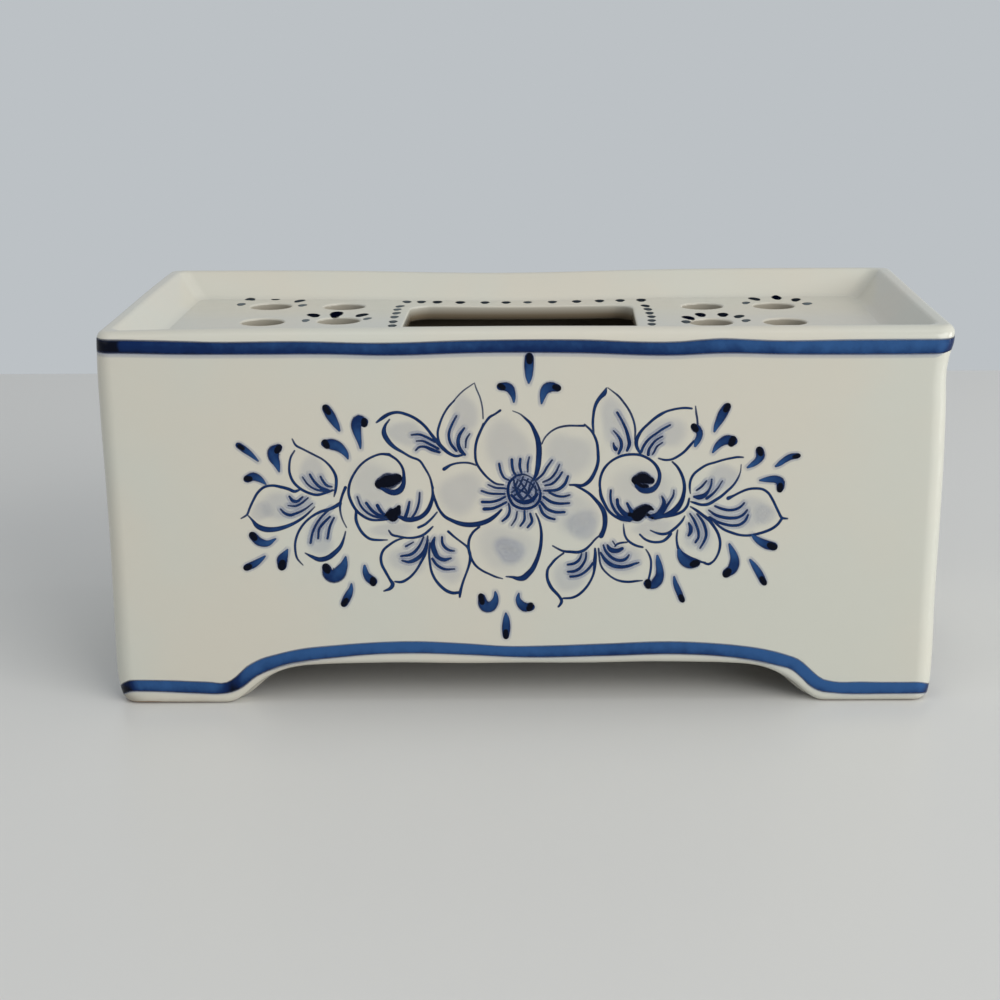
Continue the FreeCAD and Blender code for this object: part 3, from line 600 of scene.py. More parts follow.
# Brush strokes on the front face, as (x, height, width) points in millimetres, each list one pull of the brush.
centreFlower = dict(
    petals=[
        [(-4.6, 59.5, .42), (-5.6, 58.8, .34), (-6.5, 58.3, .45), (-7.4, 57.2, .38), (-8.5, 55.2, .45),
         (-9.2, 53.2, .45), (-9.4, 51.3, .42), (-9.2, 49.4, .42), (-8.15, 47.6, .4), (-6.8, 46.1, .38),
         (-5.5, 45.2, .36), (-4.2, 45, .3)],
        [(-7.8, 57, .25), (-8.3, 55.6, .35), (-8.9, 54, .25)],
        [(-2.2, 59.4, .14), (-1, 58.9, .2), (0.3, 57.8, .4), (1.0, 57.1, .5), (1.8, 55.6, .7), (2.4, 54, .9),
         (2.65, 52.2, 1.0), (2.6, 50.2, 1.0), (2.4, 48.4, .9), (1.9, 46.6, .6), (1.5, 45.9, .35)],
        [(3.2, 53, .22), (3.6, 53.9, .25), (4.7, 55.2, .28), (6.2, 56.1, .32), (8.1, 56.5, .34), (10, 56.5, .34),
         (11.1, 56.5, .4)],
        [(11.3, 56.7, .32), (12.6, 55.4, .4), (13.5, 53.5, .45), (13.8, 51.3, .5), (13.8, 49.4, .55),
         (13.1, 47.2, .62), (12, 45.5, .7), (10.9, 44.8, .6), (9.4, 44.9, .42), (8.5, 44.9, .35)],
        [(9.4, 44.8, .32), (11.1, 43.9, .45), (12.3, 43.05, .5), (13.4, 41.9, .6), (14.35, 40.7, .75), (15, 39.4, .9),
         (15.2, 38, .9), (15.15, 36.8, .85), (14.85, 35.6, .85), (14.5, 34.8, .95)],
        [(14.3, 34.9, .3), (13.4, 34.1, .34), (12.2, 32.7, .4), (11.3, 31.9, .5), (10.2, 31.45, .55),
         (8.6, 31.5, .52), (7.2, 31.65, .42), (6.2, 32.1, .34), (5.2, 32.7, .26)],
        [(-15.3, 48.2, .65), (-14, 49, .4), (-12, 49.4, .34), (-10.4, 49.3, .34), (-9.3, 48.9, .28)],
        [(-17.6, 43.6, .34), (-17.2, 42, .46), (-16.5, 40.2, .46), (-15.5, 38.8, .55), (-14, 37.9, .65),
         (-12.3, 37.25, .85), (-10.6, 37.05, .95), (-8.9, 37.25, .95), (-7.1, 37.9, .85), (-5.7, 38.9, .62),
         (-4.6, 40, .36)],
        [(-8.9, 36.6, .4), (-10.05, 35.6, .42), (-10.75, 34.4, .45), (-11, 33, .48), (-10.9, 31.6, .5),
         (-10.5, 30.2, .45), (-9.7, 28.8, .42), (-8.5, 27.8, .38), (-7, 27, .36), (-5.7, 26.4, .34),
         (-4.6, 26.1, .2)],
        [(1.99, 39.2, .25), (2.5, 38, .36), (2.85, 36.6, .42), (3, 35.2, .5), (2.95, 33.7, .56), (2.75, 32.2, .62),
         (2.4, 30.8, .7), (1.85, 29.3, .82), (1.2, 28, .95), (.35, 27, 1.08), (-.6, 26.2, 1.15), (-1.5, 26.1, .85),
         (-2.7, 26.4, .45), (-3.8, 26.5, .25)]],
    fringe=[
        [(-4.9, 49.1, .42), (-4.6, 47.6, .42), (-3.9, 46.3, .38), (-3.1, 45.9, .3)],
        [(-2.5, 49.9, .48), (-2.4, 48.4, .48), (-2, 47.2, .38), (-1.6, 46.8, .3)],
        [(-.9, 50, .46), (-1, 48.5, .48), (-.7, 47.3, .34)],
        [(.8, 50.4, .26), (.5, 49, .38), (.5, 47.6, .3)],
        [(5.1, 49.8, .3), (4.2, 48.5, .4), (3.3, 47, .4), (2.2, 46, .4)],
        [(6.5, 48.9, .26), (5.8, 47.4, .38), (4.7, 46.1, .38), (3.4, 45.5, .3)],
        [(7, 47.4, .34), (6.2, 46.2, .42), (5, 45.1, .42), (3.8, 44.8, .32)],
        [(8.1, 46.6, .4), (7.5, 45.1, .56), (6.2, 44, .56), (4.6, 43.8, .46), (3.6, 43.8, .34)],
        [(8.4, 42.9, .3), (7.2, 42.6, .4), (5.8, 42.8, .44), (4.6, 43.4, .4)],
        [(8.3, 41.3, .36), (6.6, 41.2, .48), (5, 41.5, .56), (3.5, 42.5, .5)],
        [(7.4, 39.5, .42), (5.8, 39.5, .52), (4.2, 40.1, .56), (3, 41.5, .5)],
        [(5.5, 38.1, .38), (4.4, 38.4, .48), (3.3, 39.3, .52), (2.7, 40.8, .44)],
        [(-4.4, 37.8, .38), (-3.5, 38.6, .5), (-3, 40, .44), (-3.2, 41.2, .3)],
        [(-2.7, 36.9, .2), (-1.9, 38.2, .32), (-1.6, 39.6, .26)],
        [(-1, 36.8, .34), (-.3, 37.8, .44), (-.2, 39.7, .36)],
        [(.4, 36.5, .38), (1.2, 37.6, .5), (.9, 39.2, .4)],
        [(-7, 45, .26), (-5.6, 44.4, .38), (-4.2, 44.3, .38), (-3.5, 44.2, .3)],
        [(-8.3, 43.8, .36), (-6.8, 43.3, .4), (-5.3, 43.2, .4), (-4, 43.2, .34)],
        [(-8.2, 41.6, .5), (-6.6, 41.6, .48), (-5, 42, .46), (-3.9, 42.6, .4)],
        [(-7.8, 40.2, .66), (-6.3, 40.3, .55), (-5, 40.8, .48), (-3.7, 41.5, .4)]],
    disc=[
        [(-1.9, 46.6, .4), (-2.9, 45.6, .45), (-3.3, 44, .5), (-3, 42.2, .5), (-2.3, 41, .5), (-1.2, 40.4, .5),
         (.3, 40.25, .52), (1.8, 40.8, .5), (2.7, 42, .5), (2.9, 43.3, .45)],
        [(-1.7, 46.8, .4), (-.2, 47, .3), (1, 46.5, .22), (2.1, 45.5, .25), (2.8, 43.8, .4)],
        [(-2.2, 46.2, .3), (-2, 44.8, .36), (-1.2, 43.2, .36), (-.5, 42.3, .3)],
        [(-1, 45.8, .28), (-.2, 44.4, .34), (.6, 43.2, .3)],
        [(-.4, 46.5, .28), (-.9, 45.2, .34), (-1.6, 44.2, .34), (-2.6, 43.5, .3)],
        [(1.3, 45.9, .26), (.8, 44.6, .34), (.6, 43.3, .3)],
        [(1.9, 44.7, .26), (2, 43.2, .34), (1.6, 42.2, .34)],
        [(-1.9, 44, .24), (-1.4, 42.9, .3)],
        [(-2.6, 42.9, .45), (-1.6, 41.9, .6), (-.2, 41.5, .85), (1.2, 41.9, .85), (2.2, 43, .5)],
        [(-1.4, 45.9, .3), (-1.85, 44.6, .36), (-1.4, 43, .36), (-.1, 41.5, .3)],
        [(.5, 46.1, .28), (-.1, 44.6, .36), (-1.1, 43.5, .36), (-2.4, 42.7, .3)],
        [(1.7, 45.3, .28), (1, 43.9, .36), (-.1, 42.4, .36), (-1.1, 41.6, .3)],
        [(-2.3, 44.4, .28), (-.9, 43.9, .34), (.5, 43, .34), (1.5, 41.7, .3)],
        [(-.4, 46.1, .26), (1, 45.3, .32), (2.2, 43.9, .3)]])
roses = dict(
    rings=[
        [(-25.7, 51.1, .55), (-27.2, 51.2, .4), (-29, 50.6, .38), (-30.8, 49.4, .38), (-32.4, 47.4, .4),
         (-33.4, 45.2, .44), (-33.6, 43.4, .48), (-33.1, 41.6, .5), (-32.2, 40, .5), (-31, 38.9, .5),
         (-29.6, 38.2, .45), (-28, 38.1, .4), (-26.4, 38.3, .45)],
        [(-25.7, 51.1, .5), (-24.2, 50, .4), (-23.2, 48.4, .45), (-23, 46.6, .6), (-23.2, 45.1, .85),
         (-23.8, 44.1, 1.15), (-24.8, 43.6, 1.15), (-26.2, 43.9, .95), (-27.2, 44.4, .6)],
        [(-24.2, 38.8, .6), (-22.8, 38.2, .9), (-21.4, 38.2, .9), (-20, 38.7, .8), (-18.8, 39.8, .8),
         (-18, 41.4, .68), (-17.6, 43.2, .5), (-17.7, 44.6, .3)],
        [(14.35, 43.4, .4), (14.15, 44.9, .44), (14.3, 46.4, .44), (14.95, 48.07, .46), (15.98, 49.3, .4),
         (17.3, 50.2, .42), (18.6, 50.7, .46), (20.1, 50.9, .46), (21.6, 50.8, .46), (22.9, 50.3, .46),
         (24.2, 49.4, .48), (25.1, 48.2, .58), (25.5, 46.9, .65), (25.4, 45.8, .72), (25, 44.8, .85), (24.2, 44, 1.1),
         (23.2, 43.75, 1.2), (22.1, 43.9, 1.1), (21.3, 44.6, .9)],
        [(14.2, 43.9, .45), (14.45, 42.6, .6), (15.1, 41.1, .55), (15.9, 39.7, .5), (17, 38.7, .5), (18.45, 38, .55),
         (19.9, 37.8, .6)],
        [(27.9, 49.4, .3), (28.7, 48.6, .42), (29.4, 47.5, .48), (30, 46, .54), (30.25, 44.5, .6), (30.1, 42.9, .7),
         (29.6, 41.3, .95), (28.7, 40, 1.15), (27.5, 39.15, 1.0), (26.1, 38.6, .75), (24.8, 38.3, .6)],
        [(31.2, 42.1, .36), (30.9, 40.8, .46), (30.1, 39.7, .5), (28.6, 38.95, .5), (26.8, 38.5, .4)]],
    shading=[
        [(-32, 42.8, .26), (-31.4, 41, .38), (-30.2, 39.6, .42), (-28.4, 38.7, .42), (-27, 38.6, .38)],
        [(-30.3, 41.5, .5), (-29.4, 40.2, .58), (-28.2, 39.2, .58), (-26.8, 38.8, .5)],
        [(-28.2, 41, .6), (-27.7, 40, .65), (-27, 39.2, .5)],
        [(-22.1, 41.7, .36), (-22.5, 40, .58), (-23, 38.6, .65)],
        [(-20.1, 43.5, .3), (-20.3, 41.6, .38), (-20.9, 39.8, .4), (-21.8, 38.4, .42)],
        [(16.25, 43.8, .36), (16.2, 42.5, .42), (16.4, 41.2, .46), (17, 39.9, .5), (17.9, 38.8, .58), (19.2, 38, .6)],
        [(17.5, 41.9, .56), (17.6, 41, .6), (18.2, 39.9, .8), (19.2, 38.9, 1.0), (20.1, 38.3, 1.0)],
        [(19.4, 41.2, .42), (19.8, 40.4, .6), (20.2, 39.7, .8)],
        [(26, 42.6, .26), (26.4, 41.6, .65), (26.3, 40.6, .95), (25.7, 39.5, 1.0), (24.8, 38.8, .85),
         (23.9, 38.6, .8)],
        [(28.25, 43.8, .2), (28.2, 42.9, .34), (27.6, 41.7, .4), (26.85, 40.5, .5), (26.1, 39.3, .6),
         (25.4, 38.6, .5)]],
    under=[
        [(-32.3, 40, .46), (-32.4, 38.2, .54), (-31.9, 36.6, .5), (-31, 35.2, .5), (-29.8, 34.3, .48),
         (-28.4, 34.1, .42), (-26.6, 34.1, .22)],
        [(-26.2, 36, .26), (-25.7, 35.2, .42), (-24.4, 34.8, .42), (-22.8, 34.5, .4), (-21, 34.6, .44),
         (-19.6, 35.1, .44), (-18.6, 35.9, .44), (-17.8, 36.7, .28)],
        [(-20.5, 36.6, .46), (-19.4, 37.1, .44), (-18.2, 38.1, .4), (-16.9, 39.6, .26)],
        [(23.9, 35.8, .22), (25, 35.3, .36), (26.1, 35.04, .5), (27.2, 35.2, .5), (28.35, 36, .5), (29.3, 36.9, .45),
         (30.03, 37.84, .4), (30.4, 38.6, .22)],
        [(21.9, 34.95, .34), (22.75, 34.1, .4), (23.9, 33.55, .44), (25.2, 33.4, .45), (26.3, 33.6, .5),
         (27.2, 34.3, .56), (27.8, 35.04, .5)],
        [(18.7, 37.1, .14), (18.8, 36, .32), (19, 34.85, .38), (19.5, 33.9, .4), (20.3, 33.2, .44),
         (21.25, 32.7, .44), (22.4, 32.4, .36)]],
    hearts=[
        [(-27.1, 45.5, 2.5), (-26.3, 45.8, 3.1), (-25.3, 46.0, 2.9), (-24.7, 46.2, 2.3)],
        [(21.3, 46.0, 1.9), (22.1, 46.2, 2.6), (23, 46, 2.3), (23.6, 45.8, 1.6)],
        [(21.1, 45.2, .9), (21.9, 44.7, 1.0), (23, 44.6, .8)]],
    blots=[
        [(-26.6, 39.0, .9), (-25.6, 39.3, 2.3), (-24.8, 39.6, 2.2), (-24.2, 40.6, .8)],
        [(-26.1, 38.4, .6), (-25.3, 38.1, .7), (-24.4, 38.9, .6)],
        [(20.4, 38.9, 1.7), (21.3, 39.1, 2.4), (22.2, 39.6, 2.5), (23.1, 40.2, 1.9), (23.9, 40.2, .9),
         (24.3, 40, .4)],
        [(20.6, 38.2, .8), (21.5, 38, .8), (22.4, 38.7, .8)],
        [(23.4, 38.9, .6), (24.2, 38.4, .7)]])
leafPairs = dict(
    outlines=[
        [(-27.8, 57.4, .3), (-26.6, 58.3, .64), (-25.4, 59, .58), (-23.8, 59.3, .5), (-22.2, 58.9, .5),
         (-20.4, 58, .5), (-18.8, 56.6, .5), (-17.6, 55, .5), (-16.6, 53.6, .66), (-15.4, 52.2, .66),
         (-14.4, 51.3, .58), (-13, 50.7, .48), (-11.6, 51, .34)],
        [(-25.4, 57.9, .26), (-26.3, 56.6, .5), (-26.5, 55.4, .85), (-25.8, 53.8, .85), (-24.6, 52.5, .66),
         (-23.2, 51.6, .45), (-21.6, 50.6, .4), (-20, 49.9, .4), (-19, 48.4, .38), (-18.1, 46.6, .34),
         (-17.6, 44.4, .44)],
        [(-13.1, 61.5, .26), (-14, 60.6, .34), (-15.1, 59, .34), (-15.9, 57.2, .38), (-16.4, 55.2, .4),
         (-16.2, 53.6, .4), (-15.4, 52.2, .36)],
        [(-9.3, 64.8, .13), (-9, 63.8, .2), (-8.3, 62, .22), (-7.9, 60, .22), (-7.8, 58, .2)],
        [(-13.3, 61.4, .2), (-11.6, 63.2, .22), (-9.5, 64.7, .16)],
        [(-23, 34.6, .26), (-24.8, 34, .38), (-26.2, 33.1, .42), (-27.4, 32, .44), (-27.9, 30.6, .48),
         (-27.8, 29.2, .5), (-27.1, 27.6, .5), (-26.3, 26, .5), (-25.8, 25, .75), (-26.2, 24.3, .66),
         (-27.5, 23.7, .3)],
        [(-18.8, 34.8, .26), (-19, 33, .48), (-19.4, 31.2, .5), (-20.2, 29.6, .45), (-21.4, 27.6, .4),
         (-22.8, 26.2, .46), (-24.2, 25.5, .5), (-25.3, 25.6, .34)],
        [(-18.4, 33.4, .3), (-18.6, 31.5, .4), (-18.5, 29.3, .4), (-18.2, 27.5, .44), (-17.5, 25.9, .48),
         (-16.5, 24.6, .55), (-15.4, 23.65, .6), (-14.2, 23.2, .6), (-13, 23.3, .5)],
        [(-14.8, 35.7, .46), (-13.6, 34.56, .38), (-12.3, 33.5, .34), (-11.2, 32.5, .42), (-10.75, 31.2, .5),
         (-10.75, 30, .5), (-11.1, 28.5, .42), (-11.6, 27.1, .38), (-12.15, 25.6, .4), (-12.55, 24.3, .45),
         (-12.8, 23.3, .56), (-12.9, 22.4, .36)],
        [(15.3, 63.7, .26), (14.95, 62.8, .85), (14.2, 62, .68), (13.55, 61.05, .6), (13.1, 59.8, .5),
         (12.9, 58.5, .44), (12.8, 57, .44), (12.95, 55.2, .32)],
        [(15.6, 63.8, .13), (16.5, 63.1, .22), (17.5, 62.3, .32), (18.6, 60.96, .34), (19.5, 59.65, .34),
         (20.2, 58.2, .34), (20.65, 56.7, .34), (20.8, 55.2, .32), (20.7, 53.9, .22)],
        [(21.8, 51.06, .36), (21.1, 52.4, .6), (21, 53.5, .7), (21.4, 54.6, .6), (22.2, 55.8, .46), (23.3, 56.9, .44),
         (24.4, 57.9, .48), (25.4, 58.6, .54), (26.5, 59.2, .4), (27.8, 59.6, .38), (29.2, 59.85, .38),
         (30.4, 59.9, .4), (31.3, 59.8, .34)],
        [(32.04, 60.2, .18), (32.2, 58.9, .32), (32.4, 57.8, .32), (32.5, 56.8, .32)],
        [(25.3, 50.1, .26), (26.4, 49.8, .38), (27.7, 49.9, .4), (28.9, 50.5, .44), (29.98, 51.3, .44),
         (31.1, 52.55, .48), (31.8, 53.4, .4)],
        [(7.2, 31.2, .34), (6.4, 30.6, .34), (5.5, 29.8, .44), (4.8, 28.9, .44), (4.25, 28.1, .44), (4.05, 27.1, .5),
         (4.1, 26.1, .5), (4.45, 25, .6), (5, 24, .6), (5.8, 23.1, .55), (6.5, 22.2, .5), (6.85, 21.5, .58),
         (6.65, 20.8, .5), (6.25, 20.3, .36)],
        [(13.3, 32.1, .36), (13.35, 30.9, .58), (13.25, 29.4, .68), (13.2, 28.1, .5), (12.95, 26.8, .4),
         (12.4, 25.5, .4), (11.6, 24.2, .44), (10.8, 23.3, .46), (9.8, 22.5, .46), (8.8, 22.1, .44), (7.2, 22, .36)],
        [(13.97, 32.1, .32), (14.1, 30.7, .32), (14.3, 29.2, .33), (14.75, 28.1, .34), (15.5, 27.2, .34),
         (16.4, 26.4, .34), (17.5, 25.75, .38), (18.8, 25.4, .44), (20.1, 25.35, .44), (21.4, 25.5, .38),
         (22.4, 25.6, .2)],
        [(23.1, 31.9, .22), (23.7, 30.9, .34), (24.05, 29.8, .38), (24.1, 28.5, .4), (23.96, 27.2, .4),
         (23.7, 25.9, .4), (23.6, 24.96, .46)],
        [(17.15, 32.6, .26), (17.5, 33, .36), (18.36, 33.3, .38), (19.4, 33.4, .28)]],
    hatching=[
        [(-21.3, 54.9, .3), (-20, 55, .4), (-18.4, 54.4, .44), (-17, 53.6, .46)],
        [(-20.4, 53.7, .26), (-19.2, 53.7, .38), (-18, 53.1, .46), (-16.4, 52.2, .46)],
        [(-20.6, 51.9, .3), (-20, 52.5, .38), (-19, 52.6, .44), (-17.6, 52, .64), (-16.2, 51.5, .46)],
        [(-12.8, 58.5, .3), (-13.7, 56.8, .4), (-14.3, 55, .46), (-14, 53.2, .48), (-13, 51.8, .46)],
        [(-11.4, 56.1, .36), (-12.3, 54.8, .56), (-12.6, 53.2, .66), (-12, 51.6, .7), (-11.4, 51, .46)],
        [(-10.4, 55, .26), (-11, 54, .34), (-11.2, 52.4, .26)],
        [(-19.6, 34.6, .3), (-20.6, 32.6, .46), (-22, 31.2, .56), (-24, 30.8, .36)],
        [(-18.8, 34, .36), (-19.8, 31.4, .66), (-21.4, 30, .76), (-22.6, 29.6, .56), (-23.8, 29.9, .3)],
        [(-23, 32.8, .36), (-21.6, 33.6, .22)],
        [(-17.5, 34.5, .34), (-17.85, 33.2, .85), (-17.6, 31.8, .98), (-16.9, 30.5, .8), (-15.8, 30, .75),
         (-14.5, 30.3, .34)],
        [(-18, 30.2, .46), (-17.2, 29, .5), (-15.9, 28.15, .48), (-13.8, 28.1, .26)],
        [(-16.06, 34.6, .36), (-16, 33.3, .48), (-15.4, 32.4, .52), (-14.6, 31.9, .46), (-13.8, 31.8, .26)],
        [(17.4, 59, .42), (18.2, 57.6, .4), (19, 55.9, .5), (19.5, 54.2, .6), (19.7, 52.9, .64), (19.3, 51.7, .44)],
        [(16.7, 55.5, .24), (17.5, 54.6, .38), (18.1, 53.5, .58), (18.2, 52.4, .58), (17.7, 51.1, .42)],
        [(16.7, 53.1, .26), (16.85, 52.4, .5), (17.1, 52, .75)],
        [(27.3, 56.6, .32), (26.06, 55.9, .4), (24.8, 55, .4), (23.4, 53.9, .44), (22.5, 52.7, .46),
         (21.95, 51.4, .46)],
        [(25.9, 54.4, .3), (24.75, 53.7, .38), (23.9, 52.7, .45), (23.35, 51.6, .5), (23.3, 50.9, .56)],
        [(25.9, 53.2, .26), (24.9, 52.4, .34), (24.4, 51.4, .34), (24.1, 50.9, .26)],
        [(8.1, 28.9, .42), (9.3, 29.15, .52), (10.1, 29.7, .5), (10.55, 30.5, .38), (10.7, 31.1, .26)],
        [(8.1, 27.45, .4), (9.3, 27.55, .55), (10.3, 28.1, .55), (11, 29, .48), (11.5, 30.1, .4), (11.6, 31.3, .3)],
        [(8.6, 26.45, .46), (9.7, 26.55, .46), (10.9, 27.05, .46), (12.1, 28.1, .48), (12.9, 29.2, .42)],
        [(14.9, 32.8, .3), (15.2, 31.9, .44), (16.03, 30.75, .55), (17, 30, .6), (18.1, 29.7, .64), (19, 29.9, .58),
         (19.5, 30.3, .46), (19.8, 30.8, .28)],
        [(14.4, 31.3, .32), (15, 30.2, .58), (15.8, 29.3, .78), (17, 28.6, .8), (18.3, 28.4, .7), (19.8, 28.6, .58),
         (21, 29.05, .44), (21.7, 29.25, .28)],
        [(15.7, 32.8, .36), (16.1, 32.1, .8), (16.8, 31.7, .95), (17.7, 31.7, .85), (18.45, 32.1, .62)],
        [(16.7, 33.6, .22), (17.2, 32.8, .24)]])
sideSprays = dict(
    outlines=[
        [(-43.8, 54.2, .22), (-43.2, 53, .38), (-42, 52.3, .34), (-40, 51.2, .34), (-38, 50, .34), (-36.6, 48.4, .44),
         (-35.9, 46.8, .52), (-35.9, 45.2, .52), (-36.2, 43.6, .38), (-36.4, 42.9, .2)],
        [(-43.5, 51.9, .26), (-44.2, 50.8, .34), (-44.6, 49.2, .38), (-44.6, 47.4, .44), (-44, 45.8, .48),
         (-42.8, 44.5, .48), (-41.2, 43.6, .48), (-39.6, 43.2, .48), (-38, 43.6, .44), (-36.6, 44.1, .36)],
        [(-54.3, 38.6, .22), (-53.2, 39.3, .34), (-52.6, 40.6, .38), (-51.8, 42.2, .4), (-50.8, 43.8, .44),
         (-49.6, 44.8, .44), (-48, 45.1, .44), (-46.4, 44.8, .54), (-45, 44.4, .58), (-43.8, 43.9, .56),
         (-43, 44.2, .36)],
        [(-53, 39.2, .22), (-52.2, 38.2, .4), (-51.4, 37.1, .9), (-50, 36.4, 1.05), (-48.4, 36.3, .95),
         (-46.4, 36.7, .75), (-44.4, 37.5, .55), (-42.6, 38.6, .44), (-41.2, 39.8, .34), (-40.2, 40.8, .18)],
        [(-35.4, 41.4, .7), (-37, 40.5, .58), (-39.2, 39.8, .5), (-41.2, 38.6, .4), (-42.6, 37.2, .4),
         (-43.6, 35.6, .4), (-44.2, 33.8, .4), (-44.3, 32, .38), (-44, 30.4, .34), (-43, 29.1, .18)],
        [(-34.2, 44.6, .55), (-34.8, 43.2, .44), (-35.3, 41.4, .44), (-35.3, 39.6, .3), (-34.9, 38, .24),
         (-34.3, 36.7, .18)],
        [(-34.5, 35.8, .22), (-34.9, 34.4, .38), (-35.6, 32.8, .66), (-36.8, 31.5, .88), (-38.2, 30.5, .95),
         (-39.8, 30.2, .88), (-41.2, 30.8, .58), (-42.4, 31.5, .22)],
        [(31.4, 43.2, .2), (31.25, 44.4, .38), (31.4, 45.8, .44), (32, 47, .44), (33, 47.9, .44), (34.4, 48.8, .4),
         (36, 49.3, .38), (37.6, 49.8, .38), (39, 50.1, .38), (40.2, 50.3, .38), (41.2, 50.25, .28)],
        [(40.9, 48.8, .13), (40.8, 47.4, .2), (40.2, 45.8, .34), (39.4, 44.6, .4), (38.4, 43.6, .44),
         (37.2, 42.5, .5), (36, 41.7, .56), (34.8, 41, .58), (33.6, 40.9, .5), (32.2, 41.3, .46), (31.6, 41.5, .3)],
        [(38.7, 42.2, .72), (39.5, 42.6, .46), (40.8, 43.3, .4), (42.2, 43.9, .44), (43.8, 44.1, .44),
         (45.2, 43.9, .44), (46.2, 43.2, .44), (47, 42, .44), (47.8, 40.4, .44), (48.4, 39.2, .44), (49, 38.2, .48),
         (50, 38.06, .3)],
        [(49, 38.1, .48), (48.3, 37, .48), (47.4, 36.2, .5), (46, 35.5, .5), (44.4, 35, .48), (42.8, 34.7, .44),
         (41, 34.8, .44), (39.4, 35.3, .48), (38, 35.9, .44), (36.8, 36.8, .4), (35.8, 37.8, .32)],
        [(31.5, 40.5, .28), (32.6, 39.8, .46), (34, 38.7, .54), (35, 37.9, .6), (36, 36.6, .5), (36.9, 35, .5),
         (37.3, 33.4, .48), (37.2, 31.8, .44), (36.8, 30.6, .4), (36, 29.4, .4), (35.2, 28.9, .48),
         (34.4, 29.1, .36)],
        [(29.1, 35.8, .26), (28.94, 34.7, .34), (29, 33.4, .38), (29.3, 32.2, .5), (29.9, 31.3, .6),
         (30.8, 30.65, .6), (31.9, 30.1, .5), (33, 29.7, .4), (33.8, 29.35, .38), (34.5, 29.2, .36)]],
    hatching=[
        [(-42.2, 46.7, .26), (-41.2, 45.2, .34), (-39.6, 44.2, .38), (-38.2, 44, .44)],
        [(-40.8, 47.2, .38), (-40, 45.8, .48), (-38.8, 44.6, .58), (-37.4, 44, .56)],
        [(-38.8, 46.8, .34), (-38.3, 45.8, .44), (-37.6, 45, .44), (-36.8, 44.8, .3)],
        [(-46.7, 40.4, .26), (-46, 39.6, .48), (-45, 39.2, .58), (-43.6, 39.6, .45), (-42, 40.4, .34),
         (-40.6, 41.5, .2)],
        [(-45.2, 41.1, .22), (-43.8, 41, .38), (-42.6, 41.6, .38), (-41.4, 42.6, .26)],
        [(-44.9, 42.9, .34), (-44.2, 42, .66), (-43.6, 41.9, .56), (-42.4, 42.8, .3)],
        [(-37, 40.6, .3), (-38.6, 39.2, .4), (-40, 37.4, .4), (-40.9, 35.4, .44), (-41.3, 33.6, .4)],
        [(-37.4, 38.8, .38), (-38.6, 37.6, .48), (-39.5, 36.4, .45), (-39.8, 34.5, .36)],
        [(-36.6, 38.6, .3), (-37.4, 37, .44), (-38, 34.5, .42)],
        [(32.6, 43.8, .3), (33.4, 44.4, .38), (34.4, 45.6, .3)],
        [(35.4, 45.9, .3), (35.3, 44.8, .38), (34.8, 43.6, .48), (34, 42.7, .85), (33, 42.4, .95), (32.2, 42.5, .46)],
        [(37.4, 45.6, .2), (36.6, 44.2, .32), (35.6, 43, .42), (34.6, 42.2, .56)],
        [(36.2, 40.6, .36), (37.4, 40.1, .48), (38.8, 39.8, .5), (40.2, 40, .48), (41.2, 40.6, .4), (41.7, 41.2, .3)],
        [(35, 39.8, .26), (36.2, 38.9, .48), (37.6, 38.4, .58), (39.2, 38.2, .58), (40.8, 38.4, .5),
         (41.8, 39.1, .44), (42.3, 39.8, .3)],
        [(35.2, 38.3, .56), (36.6, 37.5, .5), (38, 37, .5), (39.6, 36.7, .5), (41, 36.9, .5), (42, 37.7, .5),
         (42.5, 38.8, .36)],
        [(31.25, 37.2, .34), (31.6, 36.3, .75), (31.6, 35.5, .75), (31.25, 34.8, .46)],
        [(31.4, 39.1, .24), (32.1, 38.03, .44), (32.7, 36.7, .5), (33.1, 35.4, .5), (33.1, 34.3, .44),
         (32.6, 33.4, .42)],
        [(32.8, 39, .34), (33.8, 37.65, .48), (34.4, 36.2, .54), (34.6, 34.85, .5), (34.2, 33.5, .44),
         (33.5, 32.2, .3)]])
